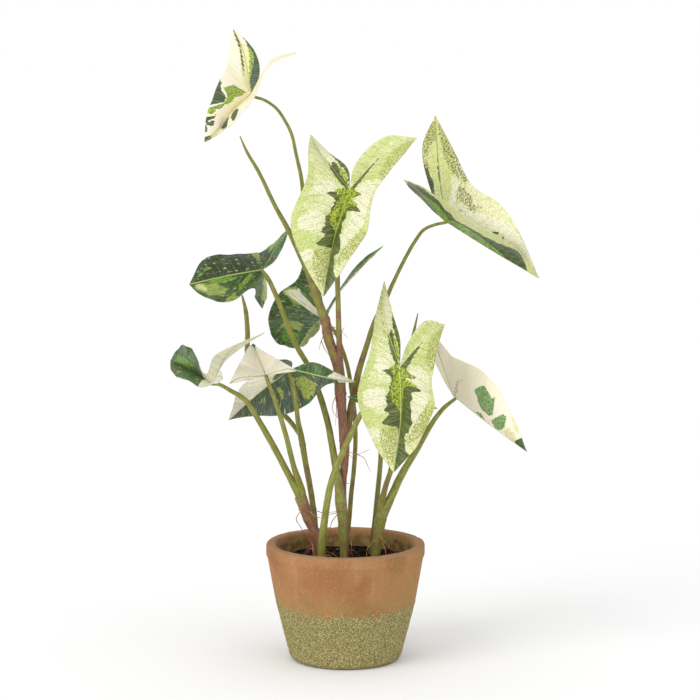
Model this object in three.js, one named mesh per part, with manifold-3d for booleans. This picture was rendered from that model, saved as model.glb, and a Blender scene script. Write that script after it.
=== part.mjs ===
// Potted syngonium: a terracotta pot of soil with leafy shoots and variegated arrowhead leaves.
// Millimetres, +Z up, origin at the centre of the pot's flat base. The viewer stands at -Y.

import * as THREE from "three";
import { mergeVertices } from "three/addons/utils/BufferGeometryUtils.js";
import Module from "manifold-3d";

const wasm = await Module();
wasm.setup();

// Pot
const POT_HEIGHT = 118;
const RIM_RADIUS = 79.5;
const RIM_BAND_HEIGHT = 13;
const RIM_STEP = 1.2;
const RIM_WIDTH = 9.6;
const WAIST_RADIUS = 70;
const WAIST_HEIGHT = 58;
const HEEL_RADIUS = 57;
const HEEL_HEIGHT = 8;
const FOOT_RADIUS = 49;
const FLOOR_THICKNESS = 11;
const INSIDE_FLOOR_RADIUS = 44;
const EDGE = 1.2;
const POT_SIDES = 56;

// Soil
const SOIL_LEVEL = 100;
const SOIL_LUMP = 1.6;
const SOIL_RINGS = 7;
const CLEARANCE = 0.3;

// Blades
const BLADE_THICKNESS = 0.9;
const SPAN_STEPS = [3, 3, 3, 2, 3];
const RIB_KNOTS = [0, 0.36, 0.74, 1, 1.38, 2];
const NECK_KNOT = 3;
const BLADE_ROWS = 3;
const LOBE_ROWS = 2;
const LOBE_RIB_SHARE = 0.45;
const LOBE_BULGE_SHARE = 0.4;
const NORMAL_TURNS = 40;
const NORMAL_STEP = 0.06;

// Stems
const STEM_SIDES = 8;
const STEM_STEP = 16;
const PETIOLE_SEAT = 3;
const SLIVER = 0.05;

const TERRACOTTA = new THREE.MeshStandardMaterial({ color: 0xb77b50, roughness: 0.9, metalness: 0 });
const POTTING_SOIL = new THREE.MeshStandardMaterial({ color: 0x241c16, roughness: 1, metalness: 0 });
const STEM_GREEN = { color: 0x77893f, roughness: 0.55, metalness: 0 };
const CANE_BROWN = { color: 0x7d5638, roughness: 0.65, metalness: 0 };
const CREAM = { color: 0xe9e6bd, roughness: 0.5, metalness: 0 };
const LIME = { color: 0xa9bb63, roughness: 0.5, metalness: 0 };
const DARK_GREEN = { color: 0x3f6637, roughness: 0.5, metalness: 0 };

// Each blade has its junction with the petiole, a point half way down the midrib, and its tip.
// A side's outer margin runs from the tip to the basal lobe: shoulder, widest, neck, lobe, lobe tip.
// Its inner margin runs back from the junction: sinus, inside of the lobe.
// bulge lifts each half between rib and margin.
const LEAVES = {
  leaf_top_left: {
    finish: CREAM,
    bulge: -4,
    junction: [-92, 0, 565],
    midrib: [-111, -23, 545],
    tip: [-135, -60, 520],
    sides: [
      {
        outer: [[-134, -43, 543], [-124, -23, 574], [-116, 5, 591], [-114, 25, 607], [-111, 34, 628]],
        inner: [[-84, 8, 583], [-91, 29, 608]],
      },
      {
        outer: [[-119, -39, 529], [-105, -56, 541], [-91, -35, 558], [-72, -43, 593], [-48, -38, 605]],
        inner: [[-84, -9, 578], [-69, -20, 600]],
      },
    ],
  },
  leaf_top_centre: {
    finish: LIME,
    bulge: -5,
    junction: [4, -28, 473],
    midrib: [-11, -42, 425],
    tip: [-21, -65, 372],
    sides: [
      {
        outer: [[-39, -54, 402], [-53, -39, 442], [-37, -30, 486], [-36, -22, 511], [-34, -3, 525]],
        inner: [[3, -24, 492], [-16, 1, 507]],
      },
      {
        outer: [[-1, -65, 401], [20, -67, 435], [29, -51, 473], [54, -54, 506], [69, -45, 524]],
        inner: [[9, -28, 496], [37, -34, 524]],
      },
    ],
  },
  leaf_top_right: {
    finish: CREAM,
    bulge: 3,
    junction: [98, 0, 440],
    midrib: [143, -20, 413],
    tip: [188, -44, 388],
    sides: [
      {
        outer: [[170, -36, 430], [152, -15, 457], [125, 8, 475], [109, 19, 505], [89, 28, 543]],
        inner: [[84, 6, 470], [76, 20, 512]],
      },
      {
        outer: [[162, -57, 420], [128, -59, 440], [97, -27, 461], [75, -40, 476], [56, -50, 484]],
        inner: [[87, 0, 450], [64, -22, 473]],
      },
    ],
  },
  leaf_upper_left: {
    finish: DARK_GREEN,
    bulge: -3,
    junction: [-81, -6, 393],
    midrib: [-116, -42, 390],
    tip: [-150, -72, 385],
    sides: [
      {
        outer: [[-137, -50, 407], [-109, -18, 409], [-88, 15, 407], [-75, 39, 412], [-56, 47, 430]],
        inner: [[-70, -4, 401], [-61, 24, 416]],
      },
      {
        outer: [[-141, -48, 373], [-118, -18, 362], [-91, -5, 374], [-90, 23, 361], [-84, 45, 348]],
        inner: [[-79, 11, 381], [-79, 35, 362]],
      },
    ],
  },
  leaf_lower_left: {
    finish: DARK_GREEN,
    bulge: -3,
    junction: [-130, -30, 282],
    midrib: [-154, 23, 287],
    tip: [-178, 59, 293],
    sides: [
      {
        outer: [[-166, 43, 311], [-153, 12, 310], [-137, -27, 292], [-125, -57, 315], [-78, -61, 337]],
        inner: [[-121, -29, 301], [-102, -47, 320]],
      },
      {
        outer: [[-175, 32, 286], [-160, -9, 284], [-139, -50, 283], [-123, -74, 290], [-117, -94, 297]],
        inner: [[-127, -48, 290], [-121, -66, 300]],
      },
    ],
  },
  leaf_small_cream: {
    finish: CREAM,
    bulge: 2,
    junction: [-78, -32, 291],
    midrib: [-86, 8, 302],
    tip: [-93, 42, 313],
    sides: [
      {
        outer: [[-97, 22, 312], [-100, -7, 308], [-106, -35, 299], [-109, -58, 294], [-111, -80, 290]],
        inner: [[-87, -43, 290], [-98, -68, 291]],
      },
      {
        outer: [[-86, 24, 310], [-77, -5, 309], [-63, -32, 305], [-55, -56, 304], [-46, -79, 302]],
        inner: [[-69, -44, 294], [-57, -67, 299]],
      },
    ],
  },
  leaf_behind_cane: {
    finish: DARK_GREEN,
    bulge: 4,
    junction: [-23, 20, 342],
    midrib: [-36, 48, 326],
    tip: [-48, 62, 305],
    sides: [
      {
        outer: [[-68, 70, 309], [-78, 45, 335], [-67, 22, 365], [-48, 14, 381], [-41, 20, 400]],
        inner: [[-23, 18, 360], [-31, 18, 387]],
      },
      {
        outer: [[-41, 84, 307], [-30, 73, 320], [-22, 37, 336], [-4, 41, 367], [38, 41, 412]],
        inner: [[-12, 18, 358], [14, 32, 396]],
      },
    ],
  },
  leaf_centre_right: {
    finish: LIME,
    bulge: -5,
    junction: [53, -48, 302],
    midrib: [54, -55, 251],
    tip: [47, -70, 201],
    sides: [
      {
        outer: [[28, -55, 227], [12, -37, 272], [24, -33, 313], [29, -18, 344], [38, -22, 383]],
        inner: [[53, -47, 328], [46, -35, 353]],
      },
      {
        outer: [[70, -76, 230], [85, -89, 269], [84, -59, 290], [90, -72, 328], [95, -85, 348]],
        inner: [[61, -46, 325], [77, -60, 348]],
      },
    ],
  },
  leaf_right: {
    finish: CREAM,
    bulge: 3,
    junction: [108, 12, 264],
    midrib: [143, -20, 240],
    tip: [178, -42, 217],
    sides: [
      {
        outer: [[162, -41, 256], [136, -30, 294], [109, -3, 304], [101, 15, 310], [84, 3, 334]],
        inner: [[99, 23, 278], [86, 31, 306]],
      },
      {
        outer: [[161, -10, 242], [139, 20, 268], [118, 42, 275], [106, 56, 290], [94, 60, 302]],
        inner: [[103, 26, 273], [96, 48, 289]],
      },
    ],
  },
  leaf_dark_low: {
    finish: DARK_GREEN,
    bulge: 4,
    junction: [-54, -8, 294],
    midrib: [-87, 1, 268],
    tip: [-117, 17, 239],
    sides: [
      {
        outer: [[-111, -3, 258], [-106, 24, 270], [-84, 26, 288], [-77, 36, 291], [-67, 46, 296]],
        inner: [[-53, 6, 298], [-58, 30, 298]],
      },
      {
        outer: [[-99, 13, 243], [-64, 5, 246], [-37, -14, 260], [-19, -14, 279], [10, -22, 283]],
        inner: [[-33, -8, 301], [-8, -24, 292]],
      },
    ],
  },
  leaf_hidden: {
    finish: DARK_GREEN,
    bulge: 4,
    junction: [41, 14, 262],
    midrib: [67, 50, 250],
    tip: [95, 86, 240],
    sides: [
      {
        outer: [[70, 79, 250], [39, 67, 262], [24, 44, 271], [-4, 38, 277], [-26, 40, 285]],
        inner: [[28, 16, 268], [0, 30, 278]],
      },
      {
        outer: [[67, 77, 240], [42, 50, 242], [26, 22, 255], [16, 2, 257], [2, 2, 265]],
        inner: [[36, 4, 267], [18, -8, 269]],
      },
    ],
  },
};

// Stem routes: points along the middle, each with its diameter. The last value is the diameter.
const CANE_LEFT = [
  [-45, -8, 166, 12.5], [-41, -8, 155, 11.5], [-37, -8, 143, 10], [-31, -8, 131, 10],
  [-26, -8, 114, 10], [-23, -8, 99, 9], [-22, -8, 60, 7],
];
const PETIOLE_LOWER_LEFT = [
  [-130, -30, 282, 3.4], [-124, -31, 282, 3.6], [-114, -33, 277, 4.2], [-98, -35, 267, 5],
  [-89, -33, 253, 5], [-75, -25, 227, 5], [-59, -14, 194, 6], [-48, -9, 171, 8],
  [-44, -8, 160, 8],
];
const PETIOLE_SMALL_CREAM = [
  [-78, -32, 291, 3.4], [-74, -33, 280, 4], [-68, -32, 263, 4.5], [-59, -27, 232, 5],
  [-51, -17, 197, 5.5], [-44, -9, 173, 8], [-42, -8, 160, 8],
];
const PETIOLE_DARK_LOW = [
  [-54, -8, 294, 3.6], [-53, -16, 283, 4.4], [-49, -19, 263, 4.6], [-47, -12, 243, 5],
  [-44, 1, 224, 6.5], [-40, 6, 198, 6], [-34, 8, 163, 6], [-31, 8, 136, 6.5],
  [-30, 8, 117, 7], [-29, 8, 102, 7], [-28, 8, 60, 6],
];
const SPEAR_BEHIND = [
  [-46, 1, 228, 5], [-56, 18, 238, 5], [-71, 42, 249, 5.5], [-90, 56, 270, 5.5],
  [-99, 56, 297, 5.5], [-99, 48, 323, 5.2], [-100, 32, 347, 4.5], [-103, 20, 364, 2],
];
const PETIOLE_CENTRE_RIGHT = [
  [53, -48, 302, 3.4], [45, -43, 290, 4.5], [31, -40, 272, 5.2], [15, -38, 253, 5.6],
  [6, -37, 234, 5.6], [-5, -35, 210, 6], [-14, -35, 185, 6.4], [-20, -35, 152, 7],
  [-23, -34, 127, 7.5], [-24, -32, 105, 7.5], [-24, -32, 62, 6],
];
const CANE_MIDDLE = [
  [-81, -6, 393, 3.4], [-76, -4, 383, 4.5], [-65, 1, 357, 5], [-50, 6, 318, 5.2],
  [-37, 12, 294, 5.4], [-27, 16, 268, 6], [-18, 12, 238, 6.5], [-12, 4, 207, 7],
  [-7, -3, 178, 8.5], [-5, -6, 159, 11], [-4, -7, 147, 9], [-2, -8, 122, 8], [-2, -8, 60, 7],
];
const CANE_TALL = [
  [-38, 3, 399, 7], [-31, 3, 372, 8], [-24, 3, 352, 8.5], [-20, 3, 341, 10],
  [-17, 2, 324, 10], [-12, 1, 309, 10], [-7, 0, 294, 11], [-5, 0, 269, 11.5],
  [-4, 0, 257, 9.5], [-3, 1, 242, 9], [-1, 2, 217, 10], [-1, 4, 196, 8],
  [-3, 6, 178, 8], [-2, 9, 139, 8], [-1, 10, 103, 8], [0, 10, 60, 7],
];
const PETIOLE_TOP_LEFT = [
  [-92, 0, 565, 3.4], [-80, 0, 559, 3.4], [-68, 0, 551, 3.8], [-60, 0, 540, 4],
  [-53, 0, 526, 4.2], [-48, 0, 504, 4.5], [-43, 0, 480, 4.8], [-41, 1, 446, 5.4],
  [-39, 2, 416, 6], [-36, 3, 389, 6],
];
const SPEAR_TOP_LEFT = [
  [-103, -10, 524, 1], [-96, -9, 508, 3], [-85, -7, 489, 3.6], [-69, -4, 455, 4.2],
  [-57, -2, 433, 5], [-45, 0, 407, 5.6], [-34, 3, 382, 6],
];
const PETIOLE_TOP_CENTRE = [
  [4, -28, 473, 3.6], [-1, -20, 455, 4], [-7, -14, 428, 5], [-8, -11, 402, 5],
  [-7, -6, 353, 5.2], [-6, -2, 317, 6], [-5, 0, 282, 8],
];
const PETIOLE_TOP_RIGHT = [
  [98, 0, 440, 3.4], [87, 1, 436, 4], [77, 2, 431, 4.6], [68, 2, 419, 5],
  [57, 3, 399, 5], [46, 3, 376, 5.2], [40, 4, 362, 5.3], [29, 5, 340, 5.5],
  [21, 7, 315, 6], [14, 10, 292, 6.5], [8, 13, 264, 7], [4, 9, 244, 8], [0, 3, 221, 8],
];
const PETIOLE_BEHIND_CANE = [
  [-23, 20, 342, 3], [-11, 23, 328, 3.6], [-2, 24, 306, 4], [3, 24, 288, 4.2],
  [6, 24, 267, 4.4], [9, 24, 246, 4.5], [10, 24, 215, 4.5], [8, 25, 183, 4.6],
  [6, 25, 165, 4.8], [4, 25, 141, 5], [2, 25, 119, 5], [1, 25, 98, 5], [1, 25, 64, 4.6],
];
const CANE_RIGHT = [
  [37, 5, 146, 11], [35, 5, 139, 12], [33, 5, 127, 10.5], [31, 5, 114, 10],
  [30, 5, 95, 9], [30, 5, 60, 8],
];
const PETIOLE_RIGHT = [
  [108, 12, 264, 3.4], [98, 10, 252, 4.4], [87, 8, 238, 5], [71, 7, 210, 5.6],
  [57, 6, 187, 6.2], [47, 5, 166, 7], [37, 5, 142, 9],
];
const SPEAR_RIGHT = [
  [71, -28, 352, 1], [68, -27, 338, 2.6], [63, -26, 313, 4], [57, -22, 270, 4.8],
  [51, -15, 224, 5], [45, -7, 192, 5.2], [40, -2, 175, 5.6], [36, 4, 155, 7],
  [35, 5, 142, 8],
];
const PETIOLE_HIDDEN = [
  [41, 14, 262, 3], [38, 18, 249, 4], [36, 22, 223, 4.6], [35, 25, 192, 5],
  [32, 27, 159, 5.2], [30, 27, 137, 5.4], [28, 27, 118, 5.6], [26, 27, 100, 5.6],
  [26, 27, 64, 5],
];

// Each shoot is one grown piece: its canes, petioles and rolled new leaves.
// seats names the blade that a route's first point carries.
const SHOOTS = {
  shoot_left: {
    finish: STEM_GREEN,
    routes: [CANE_LEFT, PETIOLE_LOWER_LEFT, PETIOLE_SMALL_CREAM],
    seats: ["", "leaf_lower_left", "leaf_small_cream"],
  },
  shoot_dark_low: {
    finish: STEM_GREEN,
    routes: [PETIOLE_DARK_LOW, SPEAR_BEHIND],
    seats: ["leaf_dark_low", ""],
  },
  shoot_front: { finish: STEM_GREEN, routes: [PETIOLE_CENTRE_RIGHT], seats: ["leaf_centre_right"] },
  shoot_middle: { finish: STEM_GREEN, routes: [CANE_MIDDLE], seats: ["leaf_upper_left"] },
  shoot_tall: {
    finish: CANE_BROWN,
    routes: [CANE_TALL, PETIOLE_TOP_LEFT, SPEAR_TOP_LEFT, PETIOLE_TOP_CENTRE, PETIOLE_TOP_RIGHT],
    seats: ["", "leaf_top_left", "", "leaf_top_centre", "leaf_top_right"],
  },
  shoot_thin: { finish: STEM_GREEN, routes: [PETIOLE_BEHIND_CANE], seats: ["leaf_behind_cane"] },
  shoot_right: {
    finish: STEM_GREEN,
    routes: [CANE_RIGHT, PETIOLE_RIGHT, SPEAR_RIGHT],
    seats: ["", "leaf_right", ""],
  },
  shoot_back: { finish: STEM_GREEN, routes: [PETIOLE_HIDDEN], seats: ["leaf_hidden"] },
};

function vector(point) {
  return new THREE.Vector3(point[0], point[1], point[2]);
}

function curveThrough(points) {
  return new THREE.CatmullRomCurve3(points, false, "centripetal");
}

function unitNormal(centre, first, second) {
  const a = new THREE.Vector3().subVectors(first, centre);
  const b = new THREE.Vector3().subVectors(second, centre);
  return a.cross(b).normalize();
}

// A closed triangle mesh as a solid that can be joined and cut.
function solidFrom(positions, triangles) {
  const geometry = new THREE.BufferGeometry();
  geometry.setAttribute("position", new THREE.Float32BufferAttribute(positions, 3));
  geometry.setIndex(triangles);
  return solidFromGeometry(geometry);
}

function solidFromGeometry(source) {
  const bare = source.clone();
  bare.deleteAttribute("normal");
  bare.deleteAttribute("uv");
  const merged = mergeVertices(bare, 1e-3);
  const index = merged.index.array;
  const kept = [];
  for (let i = 0; i < index.length; i += 3) {
    const [a, b, c] = [index[i], index[i + 1], index[i + 2]];
    if (a !== b && b !== c && c !== a) {
      kept.push(a, b, c);
    }
  }
  const mesh = new wasm.Mesh({
    numProp: 3,
    vertProperties: new Float32Array(merged.attributes.position.array),
    triVerts: new Uint32Array(kept),
  });
  return new wasm.Manifold(mesh);
}

// The main body left by a cut, without loose scraps or edges shorter than the sliver size.
function largestBody(solid) {
  const bodies = solid.simplify(SLIVER).decompose();
  bodies.sort((a, b) => b.volume() - a.volume());
  return bodies[0];
}

function meshFrom(name, solid, material) {
  const { vertProperties, triVerts } = solid.getMesh();
  const geometry = new THREE.BufferGeometry();
  geometry.setAttribute("position", new THREE.Float32BufferAttribute(vertProperties, 3));
  geometry.setIndex(new THREE.Uint32BufferAttribute(triVerts, 1));
  geometry.computeVertexNormals();
  const mesh = new THREE.Mesh(geometry, material);
  mesh.name = name;
  return mesh;
}

// One half of a blade as a grid of points between the rib path and the margin,
// and a second grid between the basal lobe's vein and the inner margin.
function halfBladeGrids(leaf, side, mirror) {
  const tip = vector(leaf.tip);
  const junction = vector(leaf.junction);
  const outerPoints = side.outer.map(vector);
  const [sinus, lobeInside] = side.inner.map(vector);
  const [, widest, neck, lobe, lobeTip] = outerPoints;
  const lobeVeinMiddle = new THREE.Vector3().lerpVectors(lobeInside, lobe, LOBE_RIB_SHARE);
  const midrib = curveThrough([tip, vector(leaf.midrib), junction]);
  const lobeVein = curveThrough([junction, lobeVeinMiddle, lobeTip]);
  const outer = curveThrough([tip, ...outerPoints]);
  const inner = curveThrough([junction, sinus, lobeInside, lobeTip]);
  const mainNormal = unitNormal(junction, tip, widest).multiplyScalar(mirror);
  const lobeNormal = unitNormal(junction, neck, lobeTip).multiplyScalar(mirror);

  const columns = [];
  for (let knot = 0; knot < SPAN_STEPS.length; knot += 1) {
    for (let step = 0; step < SPAN_STEPS[knot]; step += 1) {
      columns.push(knot + step / SPAN_STEPS[knot]);
    }
  }
  columns.push(SPAN_STEPS.length);

  const rib = (column) => {
    const knot = Math.min(Math.floor(column), SPAN_STEPS.length - 1);
    const along = THREE.MathUtils.lerp(RIB_KNOTS[knot], RIB_KNOTS[knot + 1], column - knot);
    return along <= 1 ? midrib.getPoint(along) : lobeVein.getPoint(along - 1);
  };
  const lift = (column, share, width) => {
    const blend = THREE.MathUtils.smoothstep(column, 2, 4);
    const normal = new THREE.Vector3().lerpVectors(mainNormal, lobeNormal, blend).normalize();
    const fullWidth = tip.distanceTo(junction) / 3;
    const towardLobe = THREE.MathUtils.smoothstep(column, 2, NECK_KNOT);
    const height = leaf.bulge * THREE.MathUtils.lerp(1, LOBE_BULGE_SHARE, towardLobe);
    return normal.multiplyScalar(height * 4 * share * (1 - share) * Math.min(1, width / fullWidth));
  };
  const ruled = (column, from, to, rows) => {
    const width = from.distanceTo(to);
    return Array.from({ length: rows + 1 }, (_, row) => {
      const share = row / rows;
      const point = new THREE.Vector3().lerpVectors(from, to, share);
      return point.add(lift(column, share, width));
    });
  };
  const mainGrid = columns.map((column) =>
    ruled(column, rib(column), outer.getPoint(column / SPAN_STEPS.length), BLADE_ROWS),
  );
  const lobeColumns = columns.filter((column) => column >= NECK_KNOT);
  const lobeGrid = lobeColumns.map((column) => {
    const from = rib(column);
    const along = (column - NECK_KNOT) / (SPAN_STEPS.length - NECK_KNOT);
    return ruled(column, from, inner.getPoint(along), LOBE_ROWS);
  });
  return [mainGrid, lobeGrid.map((row) => row.slice().reverse())];
}

// The blade's middle surface as shared points and triangles, all turned the same way.
function bladeSurface(leaf) {
  const points = [];
  const triangles = [];
  const numbers = new Map();
  const numberOf = (point) => {
    const key = point.toArray().map((value) => Math.round(value * 1000)).join();
    if (!numbers.has(key)) {
      numbers.set(key, points.length);
      points.push(point);
    }
    return numbers.get(key);
  };
  const addTriangle = (a, b, c) => {
    if (a !== b && b !== c && c !== a) {
      triangles.push([a, b, c]);
    }
  };
  leaf.sides.forEach((side, which) => {
    const mirror = which === 0 ? 1 : -1;
    for (const grid of halfBladeGrids(leaf, side, mirror)) {
      for (let i = 0; i + 1 < grid.length; i += 1) {
        for (let j = 0; j + 1 < grid[i].length; j += 1) {
          const a = numberOf(grid[i][j]);
          const b = numberOf(grid[i + 1][j]);
          const c = numberOf(grid[i + 1][j + 1]);
          const d = numberOf(grid[i][j + 1]);
          if (mirror > 0) {
            addTriangle(a, c, b);
            addTriangle(a, d, c);
          } else {
            addTriangle(a, b, c);
            addTriangle(a, c, d);
          }
        }
      }
    }
  });
  return { points, triangles };
}

// Each point's normal: the mean of its triangles' normals, turned step by step
// toward the one that it leans away from most, so that sharp folds keep their thickness.
function vertexNormals({ points, triangles }) {
  const facings = points.map(() => []);
  for (const [a, b, c] of triangles) {
    const facing = unitNormal(points[a], points[b], points[c]);
    [a, b, c].forEach((corner) => facings[corner].push(facing));
  }
  return facings.map((around) => {
    const normal = new THREE.Vector3();
    around.forEach((facing) => normal.add(facing));
    normal.normalize();
    for (let turn = 0; turn < NORMAL_TURNS; turn += 1) {
      const worst = around.reduce((a, b) => (normal.dot(b) < normal.dot(a) ? b : a));
      normal.addScaledVector(worst, NORMAL_STEP).normalize();
    }
    return normal;
  });
}

// The surface thickened to both sides, with both faces split into triangles alike.
function bladeSolid(leaf, thickness) {
  const surface = bladeSurface(leaf);
  const { points, triangles } = surface;
  const normals = vertexNormals(surface);
  const positions = [];
  for (const sign of [0.5, -0.5]) {
    points.forEach((point, i) => {
      positions.push(...point.clone().addScaledVector(normals[i], sign * thickness).toArray());
    });
  }
  const count = points.length;
  const index = [];
  const edges = new Set();
  for (const [a, b, c] of triangles) {
    index.push(a, b, c, c + count, b + count, a + count);
    edges.add(`${a},${b}`).add(`${b},${c}`).add(`${c},${a}`);
  }
  for (const edge of edges) {
    const [a, b] = edge.split(",").map(Number);
    if (!edges.has(`${b},${a}`)) {
      index.push(a, a + count, b, b, a + count, b + count);
    }
  }
  return solidFrom(positions, index);
}

// A stem swept along a route, its diameter following the route's own.
function stemSolid(route, extra = 0) {
  const curve = curveThrough(route.map(vector));
  const spans = route.length - 1;
  const samples = [];
  for (let span = 0; span < spans; span += 1) {
    const length = vector(route[span]).distanceTo(vector(route[span + 1]));
    const steps = Math.max(1, Math.round(length / STEM_STEP));
    for (let step = 0; step < steps; step += 1) {
      samples.push(span + step / steps);
    }
  }
  samples.push(spans);
  const positions = [];
  let side = new THREE.Vector3(0, 1, 0);
  for (const sample of samples) {
    const span = Math.min(Math.floor(sample), spans - 1);
    const diameter = THREE.MathUtils.lerp(route[span][3], route[span + 1][3], sample - span);
    const centre = curve.getPoint(sample / spans);
    const tangent = curve.getTangent(sample / spans);
    side = side.addScaledVector(tangent, -side.dot(tangent)).normalize();
    const across = new THREE.Vector3().crossVectors(tangent, side);
    for (let i = 0; i < STEM_SIDES; i += 1) {
      const angle = (2 * Math.PI * i) / STEM_SIDES;
      const spoke = side.clone().multiplyScalar(Math.cos(angle)).addScaledVector(across, Math.sin(angle));
      positions.push(...centre.clone().addScaledVector(spoke, diameter / 2 + extra).toArray());
    }
  }
  const index = [];
  const rings = samples.length;
  for (let ring = 0; ring + 1 < rings; ring += 1) {
    for (let i = 0; i < STEM_SIDES; i += 1) {
      const next = (i + 1) % STEM_SIDES;
      const a = ring * STEM_SIDES + i;
      const b = ring * STEM_SIDES + next;
      index.push(a, b, a + STEM_SIDES, b, b + STEM_SIDES, a + STEM_SIDES);
    }
  }
  const last = (rings - 1) * STEM_SIDES;
  for (let i = 1; i + 1 < STEM_SIDES; i += 1) {
    index.push(0, i + 1, i, last, last + i, last + i + 1);
  }
  return solidFrom(positions, index);
}

// A petiole ends just inside its blade's base, a little way along the midrib.
function seatedRoute(route, leafName) {
  if (!leafName) {
    return route;
  }
  const leaf = LEAVES[leafName];
  const junction = vector(leaf.junction);
  const towardsTip = vector(leaf.midrib).sub(junction).setLength(PETIOLE_SEAT);
  const seat = junction.add(towardsTip);
  return [[seat.x, seat.y, seat.z, route[0][3]], ...route.slice(1)];
}

function shootSolid(shoot) {
  let solid = null;
  shoot.routes.forEach((route, i) => {
    const stem = stemSolid(seatedRoute(route, shoot.seats[i]));
    solid = solid ? solid.add(stem) : stem;
  });
  for (const name of shoot.seats.filter(Boolean)) {
    const leaf = LEAVES[name];
    const socket = bladeSolid(leaf, BLADE_THICKNESS + 2 * CLEARANCE);
    const backwards = vector(leaf.junction).sub(vector(leaf.midrib)).setLength(CLEARANCE);
    solid = solid.subtract(socket).subtract(socket.translate(backwards.toArray()));
  }
  return largestBody(solid);
}

function insideRadius(height) {
  const rise = (height - FLOOR_THICKNESS) / (POT_HEIGHT - FLOOR_THICKNESS);
  return THREE.MathUtils.lerp(INSIDE_FLOOR_RADIUS, RIM_RADIUS - RIM_WIDTH, rise);
}

function lathe(profile) {
  const points = profile.map(([radius, height]) => new THREE.Vector2(radius, height));
  return new THREE.LatheGeometry(points, POT_SIDES).rotateX(Math.PI / 2);
}

function heelArc() {
  const steps = 3;
  return Array.from({ length: steps + 1 }, (_, i) => {
    const angle = (Math.PI / 2) * (i / steps);
    const radius = FOOT_RADIUS + (HEEL_RADIUS - FOOT_RADIUS) * Math.sin(angle);
    return [radius, HEEL_HEIGHT * (1 - Math.cos(angle))];
  });
}

function potSolid() {
  const bandBottom = POT_HEIGHT - RIM_BAND_HEIGHT;
  return solidFromGeometry(lathe([
    [0, 0],
    ...heelArc(),
    [WAIST_RADIUS, WAIST_HEIGHT],
    [RIM_RADIUS - RIM_STEP, bandBottom],
    [RIM_RADIUS, bandBottom + EDGE],
    [RIM_RADIUS, POT_HEIGHT - EDGE],
    [RIM_RADIUS - EDGE, POT_HEIGHT],
    [RIM_RADIUS - RIM_WIDTH + EDGE, POT_HEIGHT],
    [insideRadius(POT_HEIGHT - EDGE), POT_HEIGHT - EDGE],
    [INSIDE_FLOOR_RADIUS, FLOOR_THICKNESS],
    [0, FLOOR_THICKNESS],
  ]));
}

function lump(x, y) {
  const broad = Math.sin(0.21 * x + 1.3) * Math.cos(0.17 * y - 0.4);
  const fine = Math.sin(0.47 * x - 0.31 * y) * Math.sin(0.39 * y + 0.9);
  return SOIL_LUMP * (0.6 * broad + 0.4 * fine);
}

function soilSolid() {
  const topRadius = insideRadius(SOIL_LEVEL) - CLEARANCE;
  const profile = [[0, SOIL_LEVEL]];
  for (let ring = 1; ring <= SOIL_RINGS; ring += 1) {
    profile.push([(topRadius * ring) / SOIL_RINGS, SOIL_LEVEL]);
  }
  const floor = FLOOR_THICKNESS + CLEARANCE;
  profile.push([INSIDE_FLOOR_RADIUS - CLEARANCE, floor], [0, floor]);
  const geometry = lathe(profile.reverse());
  const position = geometry.attributes.position;
  for (let i = 0; i < position.count; i += 1) {
    const [x, y, z] = [position.getX(i), position.getY(i), position.getZ(i)];
    const inside = Math.hypot(x, y) < topRadius - 1;
    if (inside && z > SOIL_LEVEL - 1) {
      position.setZ(i, z + lump(x, y));
    }
  }
  let solid = solidFromGeometry(geometry);
  for (const shoot of Object.values(SHOOTS)) {
    for (const route of shoot.routes.filter((points) => points.at(-1)[2] < SOIL_LEVEL)) {
      solid = solid.subtract(stemSolid(route, CLEARANCE));
    }
  }
  return largestBody(solid);
}

const plant = new THREE.Group();
plant.add(meshFrom("pot", potSolid(), TERRACOTTA));
plant.add(meshFrom("soil", soilSolid(), POTTING_SOIL));
for (const [name, shoot] of Object.entries(SHOOTS)) {
  plant.add(meshFrom(name, shootSolid(shoot), new THREE.MeshStandardMaterial(shoot.finish)));
}
for (const [name, leaf] of Object.entries(LEAVES)) {
  const finish = new THREE.MeshStandardMaterial(leaf.finish);
  plant.add(meshFrom(name, bladeSolid(leaf, BLADE_THICKNESS), finish));
}

export default plant;
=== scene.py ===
"""Looks of a potted syngonium: clay pot, soil, shoots with aerial roots, leaf blades and studio."""

import logging
import math
import random
from dataclasses import dataclass, replace
from enum import Enum
from typing import Callable

import bpy
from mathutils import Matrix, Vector, noise

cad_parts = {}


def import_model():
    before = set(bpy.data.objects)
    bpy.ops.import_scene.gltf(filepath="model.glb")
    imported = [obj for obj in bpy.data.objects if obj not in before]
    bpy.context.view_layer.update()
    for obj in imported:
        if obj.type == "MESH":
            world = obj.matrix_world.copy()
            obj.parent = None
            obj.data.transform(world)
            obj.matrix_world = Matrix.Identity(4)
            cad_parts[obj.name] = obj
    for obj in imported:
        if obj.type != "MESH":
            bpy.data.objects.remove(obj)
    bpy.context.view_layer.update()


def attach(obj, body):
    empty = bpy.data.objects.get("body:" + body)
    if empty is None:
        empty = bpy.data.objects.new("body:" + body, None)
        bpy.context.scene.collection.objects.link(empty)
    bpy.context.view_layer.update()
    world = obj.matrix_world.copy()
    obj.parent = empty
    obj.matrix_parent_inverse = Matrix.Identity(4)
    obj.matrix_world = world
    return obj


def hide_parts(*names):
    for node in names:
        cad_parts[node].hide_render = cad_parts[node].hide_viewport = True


LOG = logging.getLogger("syngonium")
MM = 0.001
MERGE = 2e-6

Point = tuple[float, float, float]
Colour = tuple[float, float, float, float]
Marks = dict[str, float | Point]
Place = Callable[[float, float], tuple[Vector, Marks]]


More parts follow.
